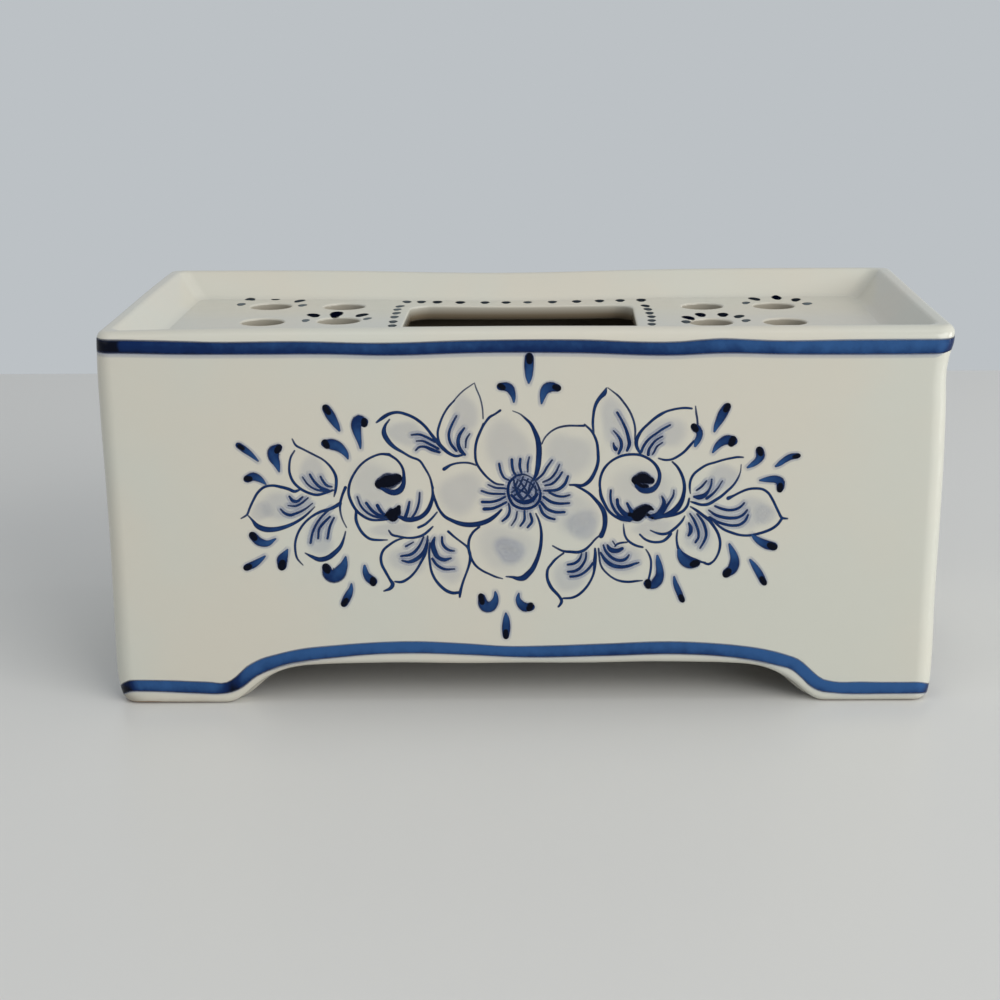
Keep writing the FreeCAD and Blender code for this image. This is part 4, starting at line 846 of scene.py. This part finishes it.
# Commas of a full brush: the pull, then its dark head from one place to another, and the head's width.
commas = [
    ([(-53.9, 53, 1.1), (-53, 52.3, 1.2), (-51.8, 51.3, .9), (-50.5, 50, .3)], (-53.8, 52.9, -53.3, 52.5, .95)),
    ([(-46.6, 52.5, 1.4), (-47.4, 51.9, 2.1), (-47.5, 50.7, 2.0), (-47, 49.4, 1.3), (-46.6, 47.9, .3)],
      (-46.5, 52.4, -46.7, 52.1, 1.4)),
    ([(-52.6, 46.5, 1.4), (-51.6, 46.9, 1.6), (-50.4, 46.4, 1.2), (-49.3, 45.4, .3)],
      (-52.7, 46.5, -52.4, 46.5, 1.3)),
    ([(-37.1, 60, 1.5), (-36.4, 58.7, 1.7), (-35.8, 57.6, 1.4), (-35.3, 56.7, 1.0), (-34.9, 55.9, .45)],
      (-37.25, 60.2, -36.85, 59.5, 1.3)),
    ([(-37.5, 53.3, 1.5), (-36.6, 53.2, 2.0), (-35.4, 52.8, 1.9), (-34.4, 52, 1.4), (-33.7, 51, .8),
      (-33.5, 50.4, .35)], (-37.6, 53.4, -37.4, 53, 1.4)),
    ([(-30.3, 57.6, 1.5), (-31.1, 57.8, 2.1), (-31.65, 57, 1.9), (-31.6, 55.8, 1.6), (-31.35, 54.5, 1.1),
      (-31.1, 53.2, .6), (-31.05, 52.4, .3)], (-30.15, 57.5, -30.15, 57.2, 1.4)),
    ([(-52.2, 35, 1.5), (-51.2, 33.9, 1.6), (-49.7, 33.5, 1.2), (-48, 34.4, .3)], (-52.3, 35.1, -52.1, 34.8, 1.5)),
    ([(-53.7, 28.7, 1.3), (-52.4, 29.3, 1.3), (-51.2, 30.1, .9), (-50.2, 30.9, .3)], (-53.8, 28.6, -53.4, 28.8, 1.3)),
    ([(-47, 29.1, 1.7), (-46.9, 30.2, 2.0), (-46.3, 31.3, 1.2), (-45.8, 32.2, .3)],
      (-47.05, 28.9, -46.95, 29.3, 1.7)),
    ([(-38.4, 28.2, 1.7), (-38.1, 27.3, 2.4), (-37.3, 26.9, 2.9), (-36.3, 27.2, 2.7), (-35.5, 28.3, 2.0),
      (-35, 29.3, 1.3), (-34.7, 30.6, .4)], (-38.5, 28.5, -38.4, 28.2, 1.7)),
    ([(-29.7, 25.8, 1.6), (-30.3, 26.3, 1.6), (-30.85, 27.1, 1.2), (-31.05, 28, .9), (-31.1, 28.8, .45)],
      (-29.6, 25.8, -29.6, 25.5, 1.5)),
    ([(-35.3, 21.2, 1.3), (-34.8, 22.2, 1.45), (-34.3, 23.2, 1.3), (-33.9, 24.2, .8), (-33.8, 25.1, .35)],
      (-35.4, 21.1, -35, 21.7, 1.25)),
    ([(-4.3, 64.1, 1.4), (-3.5, 64.1, 1.6), (-2.7, 63.7, 1.6), (-2.3, 62.9, 1.2), (-2.05, 62.1, .8), (-2, 61.2, .35)],
      (-4.4, 64.2, -4.1, 64, 1.25)),
    ([(6, 63.8, 1.4), (5.1, 64, 1.8), (4.3, 63.8, 1.9), (3.7, 63.1, 1.5), (3.4, 62.1, 1.0), (3.2, 60.9, .35)],
      (6.15, 63.8, 5.9, 63.9, 1.35)),
    ([(.95, 69.5, 1.6), (.9, 68.2, 1.7), (.88, 66.9, 1.5), (.85, 65.7, 1.1), (.82, 64.8, .35)],
      (1.0, 69.7, 1.0, 69.1, 1.45)),
    ([(37.8, 59.9, 1.5), (37.2, 58.8, 1.7), (36.6, 57.5, 1.4), (36, 56.3, .9), (35.7, 55.4, .4)],
      (38, 60.1, 37.8, 59.7, 1.4)),
    ([(39, 53.5, 1.8), (38.2, 53.7, 1.8), (37.2, 53.3, 1.5), (36.3, 52.5, 1.1), (35.5, 51.3, .35)],
      (39.15, 53.6, 39, 53.2, 1.6)),
    ([(44.35, 51.4, 1.5), (44.5, 50.5, 1.6), (43.9, 49.5, 1.2), (43, 48.8, .9), (42.2, 48.3, .4)],
      (44.3, 51.6, 44.45, 51.2, 1.4)),
    ([(51.4, 50.5, 1.0), (50.2, 50.3, 1.15), (49, 49.6, 1.0), (48.1, 48.9, .8), (47.5, 48.5, .4)],
      (51.6, 50.5, 51, 50.35, .95)),
    ([(48.5, 44.4, 1.4), (48.4, 45.4, 1.6), (47.5, 45.9, 1.4), (46.4, 45.9, 1.2), (45.4, 45.8, .8),
      (44.6, 45.7, .35)], (48.4, 44, 48.45, 44.5, 1.35)),
    ([(47.4, 32.5, 1.6), (46.3, 32.8, 1.7), (45.1, 33.4, 1.4), (44, 34.2, .9), (43.4, 34.8, .4)],
      (47.5, 32.4, 47.1, 32.6, 1.6)),
    ([(38.9, 27.2, 1.7), (39.7, 27.8, 1.9), (40.15, 29, 1.9), (40.1, 30.3, 1.5), (39.6, 31.7, 1.0), (39.1, 32.9, .4)],
      (38.75, 27, 38.9, 27.2, 1.7)),
    ([(45.8, 25.4, 1.2), (45.1, 26.8, 1.3), (44.3, 28.1, 1.1), (43.7, 29, .8), (43.2, 29.7, .4)],
      (46, 25.1, 45.6, 25.8, 1.2)),
    ([(30.1, 21.8, 1.05), (29.7, 22.9, 1.1), (29.2, 24.1, 1.05), (28.8, 25.2, .8), (28.6, 26.3, .35)],
      (30.25, 21.6, 30, 22.2, 1.1)),
    ([(32.6, 29.1, 1.6), (31.7, 29, 1.9), (30.7, 29.5, 2.0), (29.9, 30.5, 1.5), (29.5, 31.6, .8)],
      (32.65, 29.1, 32.4, 29, 1.65)),
    ([(23.6, 24.9, 1.5), (24.5, 24.6, 1.5), (25.3, 25.4, 1.9), (25.8, 26.6, 1.6), (25.75, 28, 1.3), (25.5, 29.4, 1.0),
      (25.3, 30.6, .4)], (23.55, 25.1, 23.6, 24.7, 1.5)),
    ([(32.4, 55.9, 1.4), (32.9, 55.1, 1.2), (32.8, 54.2, 1.1), (32.4, 53.3, 1.0), (32.15, 52.6, .5)],
      (31.9, 56.2, 32.1, 55.9, 1.4)),
    ([(-8.6, 22.2, 1.3), (-8.4, 21.1, 1.9), (-7.9, 20.3, 2.1), (-7, 20.3, 2.0), (-6.3, 21, 1.6), (-5.95, 21.9, 1.1),
      (-5.9, 22.7, .7), (-6, 23.3, .35)], (-8.75, 22.4, -8.6, 21.4, 1.3)),
    ([(.7, 20.2, 1.5), (-.3, 20.2, 1.8), (-1.2, 21, 1.4), (-1.6, 22, .85), (-1.45, 23, .3)],
      (.75, 20.4, .6, 20.1, 1.45)),
    ([(-4.05, 14.3, 1.2), (-4, 15.6, 1.55), (-3.95, 17, 1.4), (-3.95, 18.1, 1.0), (-4, 18.9, .35)],
      (-4.05, 14.2, -4.05, 15, 1.2))]
# Pale washes left in the petals and leaves: middle, half sizes and strength.
washes = [
    (-3.2, 31.9, 3.6, 3.4, 0.27), (11.0, 36.9, 4.3, 3.5, 0.19), (-3.4, 52.6, 5.4, 6.4, 0.12),
    (8.3, 50.8, 5.4, 5.8, 0.12), (9.3, 39.2, 5.4, 5.8, 0.1), (-3.9, 32.4, 6.6, 6.2, 0.1),
    (-12.4, 43.4, 5.2, 5.4, 0.13), (-28.4, 44.6, 6.0, 6.6, 0.1), (22.4, 43.6, 7.4, 6.4, 0.1),
    (-22.4, 55.2, 4.2, 3.2, 0.14), (-11.4, 58.6, 3.0, 5.4, 0.14), (-22.8, 30, 4.2, 3.8, 0.14),
    (-15, 29, 3.4, 4.6, 0.14), (16.6, 57.6, 3.2, 5.6, 0.14), (26.6, 55.2, 4.8, 3.8, 0.14),
    (8.2, 26.4, 3.6, 4.2, 0.14), (18.8, 29.6, 4.6, 3.4, 0.16), (-50.4, 40.0, 2.6, 2.4, 0.12),
    (-46.5, 40.8, 5.6, 3.4, 0.14), (-40.2, 47.6, 3.4, 3.8, 0.14), (-39.6, 34.6, 3.4, 4.2, 0.16),
    (37.4, 46.2, 4.2, 3.2, 0.16), (43.2, 39.2, 5.0, 3.8, 0.14), (45.8, 38.8, 2.4, 2.8, 0.12),
    (33, 34.8, 3.2, 4.4, 0.14), (-25.6, 36.2, 5.4, 1.8, 0.12), (24.6, 36.2, 5.2, 2.2, 0.12)]
# Dashes round the opening and in crowns over four holes: middle on the panel, width, length, lean and ink.
dashes = [
    (-26.1, 23.1, 2.0, 2.6, 0.1, 0.7), (-23.0, 23.2, 2.0, 2.8, 0, 0.9), (-19.5, 23.2, 2.2, 3.0, 0, 1.2),
    (-14.5, 23.0, 2.2, 3.0, 0, 1.3), (-9.1, 23.0, 2.0, 2.8, 0, 1.1), (-4.5, 23.1, 2.1, 2.7, 0, 1.2),
    (0.2, 23.2, 2.0, 2.4, 0, 0.8), (5.6, 23.2, 2.1, 2.7, 0, 0.9), (10.9, 23.3, 2.1, 2.8, 0, 1.1),
    (15.9, 23.4, 2.1, 2.8, 0, 1.1), (20.4, 23.4, 2.1, 2.7, 0, 1.0), (25, 23.3, 2.2, 3.0, 0, 1.2),
    (-27.2, 17.2, 1.8, 2.3, -0.2, 0.6), (-27.4, 13.2, 1.7, 2.2, -0.1, 0.5), (-27.2, 8.8, 1.8, 2.3, -0.1, 0.6),
    (-27.2, 4.4, 1.8, 2.3, 0, 0.6), (-27.0, -0.8, 1.8, 2.4, 0, 0.7), (-26.8, -5.1, 1.8, 2.4, 0, 0.7),
    (-26.8, -9.6, 1.8, 2.6, 0, 0.7), (25.6, 16.3, 1.8, 2.6, 0.2, 1.0), (25.9, 12.2, 1.8, 2.5, 0.1, 0.8),
    (26.0, 7.8, 1.8, 2.4, 0, 0.8), (26.2, 3.8, 1.8, 2.2, 0, 0.8), (26.0, -0.3, 1.8, 2.2, 0, 0.8),
    (25.8, -4.2, 1.8, 2.2, 0, 0.8), (25.6, -8.8, 1.8, 2.6, 0, 0.8), (-61.7, 19.7, 1.9, 2.5, 0, 0.5),
    (-60.5, 25.4, 2.0, 1.8, 0.3, 0.9), (-55.2, 26.0, 2.0, 1.4, 0, 1.2), (-49.7, 23.6, 2.0, 2.8, -0.3, 0.9),
    (-48.3, 18.4, 1.9, 2.3, -0.1, 0.5), (-45.2, 1.2, 1.6, 2.4, 0, 0.4), (-44.2, 6.8, 2.6, 3.4, 0.35, 1.4),
    (-39.7, 7.8, 2.7, 5.2, 0, 1.6), (-34.3, 6.7, 2.3, 3.2, -0.35, 1.3), (-32.7, 2.8, 1.6, 2.2, -0.2, 0.4),
    (47.3, 18.6, 1.7, 2.4, -0.2, 0.6), (49.8, 23.2, 2.3, 3.2, 0.3, 1.3), (54.7, 24.3, 2.2, 3.4, 0, 1.5),
    (58.5, 21.9, 2.0, 3.2, -0.3, 1.3), (60.3, 17.3, 2.1, 2.5, -0.2, 0.5), (32.9, -2.0, 1.9, 2.6, 0, 0.7),
    (33.8, 2.2, 2.3, 3.4, 0.35, 1.5), (36.5, 5.3, 2.2, 3.6, 0.1, 1.5), (41.1, 5.2, 2.3, 3.6, -0.1, 1.4),
    (44.2, 3.3, 2.1, 2.8, -0.3, 1.0), (45.2, -1.2, 1.8, 2.4, -0.2, 0.6)]
# The brush: each kind of pull widens the widths above, by a share and a length, and stands proud by its level.
brush = dict(step=0.4, sunk=0.07, across=(-1.0, -0.75, -0.4, 0.0, 0.4, 0.75, 1.0), tip=(1, 0.93, 0.75, 0.4),
             thin=0.15, full=0.75,
             line=(1.2, 0.12), comma=(1.22, 0.1), head=(1.1, 0.05), haze=(1.0, 1.6), dash=(1.2, 0.0))
levels = dict(wash=0.014, haze=0.018, line=0.03, comma=0.034, dash=0.034, head=0.05)
inks = dict(petals=0.62, fringe=0.6, disc=0.75, rings=0.62, shading=0.62, under=0.55, hearts=1.25, blots=1.45,
            outlines=0.58, hatching=0.6, comma=0.62, commaFade=0.35, head=1.4, haze=0.28, dashLess=0.3)


def pulled(points, ink, kind, fade=0.0):
    # One pull of the brush: a smooth path through (x, height, width) points, with round ends, as rings of a flat closed
    # ribbon. The ink falls by fade from the pull's start to its end.
    p = np.array(points, float)
    p[:, 2] = p[:, 2] * brush[kind][0] + brush[kind][1]
    chord = np.concatenate([[0], np.cumsum(np.hypot(*np.diff(p[:, :2], axis=0).T))])
    total, r0, r1 = chord[-1], p[0, 2] / 2, p[-1, 2] / 2
    tip, steps = np.array(brush["tip"]), max(3, int(total / brush["step"]) + 2)
    s = np.concatenate([-r0 * tip, np.linspace(0, total, steps), total + r1 * tip[::-1]])
    x, z, w = (throughPoints(np.column_stack([chord, p[:, k]]), s) for k in range(3))
    dx, dz = (np.pad(np.gradient(v[4:-4], s[4:-4]), 4, "edge") for v in (x, z))
    size = np.hypot(dx, dz)
    dx, dz = dx / size, dz / size
    past = np.minimum(s, 0) + np.maximum(s - total, 0)
    beyond = past / np.where(past < 0, r0, r1)  # share of the way out over a round end
    x, z = x + dx * past, z + dz * past
    w = np.maximum(w, 0.1) * np.sqrt(np.clip(1 - beyond ** 2, 0.0004, 1))
    face = np.array(brush["across"])
    n, m = len(s), len(face)
    v = np.concatenate([face, face[::-1] * 0.9])
    lift = np.concatenate([levels[kind] * (1 - face ** 4) - 0.012, np.full(m, -brush["sunk"])])
    lift = lift[None, :] * np.clip(w / 0.5, 0.5, 1)[:, None]
    px = x[:, None] - dz[:, None] * v * w[:, None] / 2
    pz = z[:, None] + dx[:, None] * v * w[:, None] / 2
    rings = np.stack([px, -block["halfDepth"] - lift, pz], axis=-1)
    k = np.arange(m - 1)
    cap = np.stack([k, k + 1, 2 * m - 2 - k, 2 * m - 1 - k], axis=1)
    faces = np.concatenate([gridFaces(n, 2 * m, loopColumns=True), cap[:, ::-1], cap + (n - 1) * 2 * m])
    inked = ink - fade * np.clip(s / total, 0, 1)
    if kind == "haze":
        inked = inked * np.clip(1 - np.abs(beyond), 0, 1)
    full = ramp01(w, brush["thin"], brush["full"])
    stroke = np.stack(np.broadcast_arrays(v, full[:, None], inked[:, None]), axis=-1)
    return rings.reshape(-1, 3), faces, stroke.reshape(-1, 3)


def washDisc(x, z, halfX, halfZ, strength):
    # A round wash as rings from the middle out, its back sunk: across is the share of the way out.
    angle = np.arange(28) * math.tau / 28
    share = np.array([0.02, 0.25, 0.5, 0.75, 0.9, 1.0, 1.0, 0.02])[:, None]
    lift = levels["wash"] * (1 - share ** 16) - 0.002
    lift[6:] = -brush["sunk"]
    out = share * (1 + 0.1 * np.sin(2 * angle + x) + 0.08 * np.sin(3 * angle + z))
    rings = np.stack(np.broadcast_arrays(x + halfX * out * np.cos(angle), -block["halfDepth"] - lift,
                                         z + halfZ * out * np.sin(angle)), axis=-1)
    stroke = np.stack(np.broadcast_arrays(share, 1.0, strength + 0 * angle), axis=-1)
    return rings.reshape(-1, 3), gridFaces(8, 28, loopRows=True, loopColumns=True), stroke.reshape(-1, 3)


def onFront(points):
    # x + paintAt, with y and height as they are.
    return points + (paintAt, 0, 0)


def onBack(points):
    # The front's painting turned half round the upright axis.
    return onFront(points) * (-1, -1, 1)


def onPanel(points):
    # Lays the pulls down on the panel and its bevel: height becomes y, and the lift stands on whichever face is higher.
    x, y = points[:, 0], points[:, 2]
    bevel = skinProfile(0.0, skin["rimRound"])[:skin["bevelRows"]][::-1]
    face = np.maximum(panel["top"], np.interp(block["halfDepth"] - np.abs(y), bevel[:, 0], bevel[:, 1]))
    return np.stack([x, y, face - points[:, 1] - block["halfDepth"]], axis=1)


def addStrokes(name, shapes, place, material=cobaltPaint):
    # One piece of many pulls or washes, laid on its face by place.
    points, faces, strokes = joined(shapes)
    piece = addPiece(name, handMade(place(points)), faces, material, "stroke", strokes)
    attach(piece, "root")
    print(name, len(shapes), "strokes,", len(faces), "faces")


def paintSpray(ending, place):
    # The whole flower spray on one long face, over the washes and the bled edges of its finer strokes.
    def lines(group, *keys):
        return [pulled(path, inks[key], "line") for key in keys for path in group[key]]
    haze = (centreFlower["fringe"] + centreFlower["disc"] + roses["shading"] + roses["hearts"] + roses["blots"]
            + leafPairs["hatching"] + sideSprays["hatching"] + [path for path, head in commas])
    bled = [pulled(path, inks["haze"], "haze") for path in haze] + [washDisc(*wash) for wash in washes]
    tails = [pulled(path, inks["comma"], "comma", inks["commaFade"]) for path, head in commas]
    heads = [pulled([(x0, z0, w), ((x0 + x1) / 2, (z0 + z1) / 2, w * 1.03), (x1, z1, w)], inks["head"], "head")
             for path, (x0, z0, x1, z1, w) in commas]
    addStrokes("brushHaze" + ending, bled, place, paleWash)
    addStrokes("centreFlower" + ending, lines(centreFlower, "petals", "fringe", "disc"), place)
    addStrokes("roses" + ending, lines(roses, "rings", "shading", "under", "hearts", "blots"), place)
    addStrokes("leafPairs" + ending, lines(leafPairs, "outlines", "hatching"), place)
    addStrokes("sideSprays" + ending, lines(sideSprays, "outlines", "hatching"), place)
    addStrokes("commas" + ending, tails + heads, place)


def paintPanel():
    # Each dash is a short pull, broad at the back and narrower towards the hole.
    def dash(x, y, w, long, lean, ink):
        path = [(x - lean, y + long * 0.6 - w / 2, w * 0.95), (x, y, w), (x + lean, y - long * 0.6 + w / 3, w * 0.65)]
        return pulled(path, ink - inks["dashLess"], "dash")
    addStrokes("panelDashes", [dash(*values) for values in dashes], onPanel, dashPaint)


def showLeft():
    # The floor, its coil and the corner coils keep their own meshes and take the inner glaze, darkened all over with
    # painted shade.
    for name in ("floor_plate", "floor_coil", "front_left_coil", "front_right_coil", "back_left_coil",
                 "back_right_coil"):
        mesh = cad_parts[name].data
        mesh.materials.clear()
        mesh.materials.append(shadedInnerGlaze)
    print("inner pieces glazed")


table = dict(back=0.258, front=-1.2, half=2.2, color=srgb(214, 214, 212), rough=0.34, patch=0.97)


def buildStage():
    # A satin table whose back edge is a little behind the brick.
    material, tree, place = newMaterial("tableTop")
    patch = noise(tree, place, 3.0).step(0.3, 0.7)
    color = mixed(tree, patch, table["color"], tuple(c * table["patch"] for c in table["color"]))
    finishMaterial(tree, {"Base Color": color, "Roughness": table["rough"]})
    mesh = bpy.data.meshes.new("tableTop")
    half, near, far = table["half"], table["front"], table["back"]
    mesh.from_pydata([(-half, near, 0), (half, near, 0), (half, far, 0), (-half, far, 0)], [], [(0, 1, 2, 3)])
    mesh.materials.append(material)
    thing = bpy.data.objects.new("tableTop", mesh)
    bpy.context.collection.objects.link(thing)
    print("table laid")


# The room's fill and what is seen of it, then each lamp's place, aim, size, watts and colour.
room = dict(fill=(0.80, 0.83, 0.86), strength=0.5, seen=srgb(188, 193, 197))
lamps = dict(windowLight=((0.9, -0.85, 0.62), (0, 0, 0.04), (1.1, 0.8), 12.7, (1, 0.985, 0.95)),
             rightLight=((1.35, 0.0, 0.22), (0, 0, 0.04), (0.5, 0.4), 5.0, (1, 0.99, 0.97)),
             leftLight=((-1.0, -0.7, 0.7), (0, 0, 0.04), (0.8, 0.8), 2.0, (1, 0.98, 0.94)),
             skyLight=((0.1, -0.1, 1.3), (0, 0, 0.04), (1, 1), 0.9, (1, 0.98, 0.94)),
             rimLight=((0.0, -0.3, 1.2), (0, 0, 0.05), (1.4, 0.12), 0.9, (1, 1, 1)))


def buildLight():
    # The fill lights the scene, what is seen of the room is a colour of its own, and each lamp is turned to its aim.
    world = bpy.data.worlds.new("paleRoom")
    bpy.context.scene.world = world
    world.use_nodes = True
    tree = world.node_tree
    tree.nodes.clear()
    fill = addNode(tree, "ShaderNodeBackground", None, {"Color": room["fill"], "Strength": room["strength"]})
    seen = addNode(tree, "ShaderNodeBackground", None, {"Color": room["seen"], "Strength": 1.0})
    path = tree.nodes.new("ShaderNodeLightPath")
    camera, glossy, through = (Wire(tree, path.outputs[key]) for key in
                               ("Is Camera Ray", "Is Glossy Ray", "Is Transmission Ray"))
    direct = camera.math("MAXIMUM", glossy).math("MAXIMUM", through)
    surface = addNode(tree, "ShaderNodeMixShader", None, {0: direct, 1: fill, 2: seen})
    end = tree.nodes.new("ShaderNodeOutputWorld")
    tree.links.new(surface.socket, end.inputs["Surface"])
    for name, (place, aim, size, watts, color) in lamps.items():
        light = bpy.data.lights.new(name, "AREA")
        light.shape, light.size, light.size_y = "RECTANGLE", size[0], size[1]
        light.energy, light.color = watts, color
        thing = bpy.data.objects.new(name, light)
        thing.location = place
        thing.rotation_mode = "QUATERNION"
        thing.rotation_quaternion = (Vector(aim) - Vector(place)).to_track_quat("-Z", "Y")
        bpy.context.collection.objects.link(thing)
    print(len(lamps), "lamps")


view = dict(lens=61.27, sensor=36.0, shiftX=-0.0561, downward=17.158, roll=-0.214, place=(0.00584, -0.34429, 0.13747))


def buildCamera():
    # The photograph's viewpoint, solved from the corners of the block.
    data = bpy.data.cameras.new("photoCamera")
    data.lens, data.sensor_width, data.shift_x = view["lens"], view["sensor"], view["shiftX"]
    data.clip_start, data.clip_end = 0.01, 20
    thing = bpy.data.objects.new("photoCamera", data)
    bpy.context.collection.objects.link(thing)
    x, y, z = view["place"]
    upright, roll = math.radians(90 - view["downward"]), math.radians(view["roll"])
    turn = Matrix.Rotation(upright, 4, "X") @ Matrix.Rotation(roll, 4, "Z")
    thing.matrix_world = Matrix.Translation((x + paintAt * mm, y, z)) @ turn
    bpy.context.scene.camera = thing
    print("camera set")


buildSkin()
buildPanel()
buildBands()
paintSpray("Front", onFront)
paintSpray("Back", onBack)
paintPanel()
showLeft()
buildStage()
buildLight()
buildCamera()
bpy.context.scene.view_settings.view_transform = "Standard"
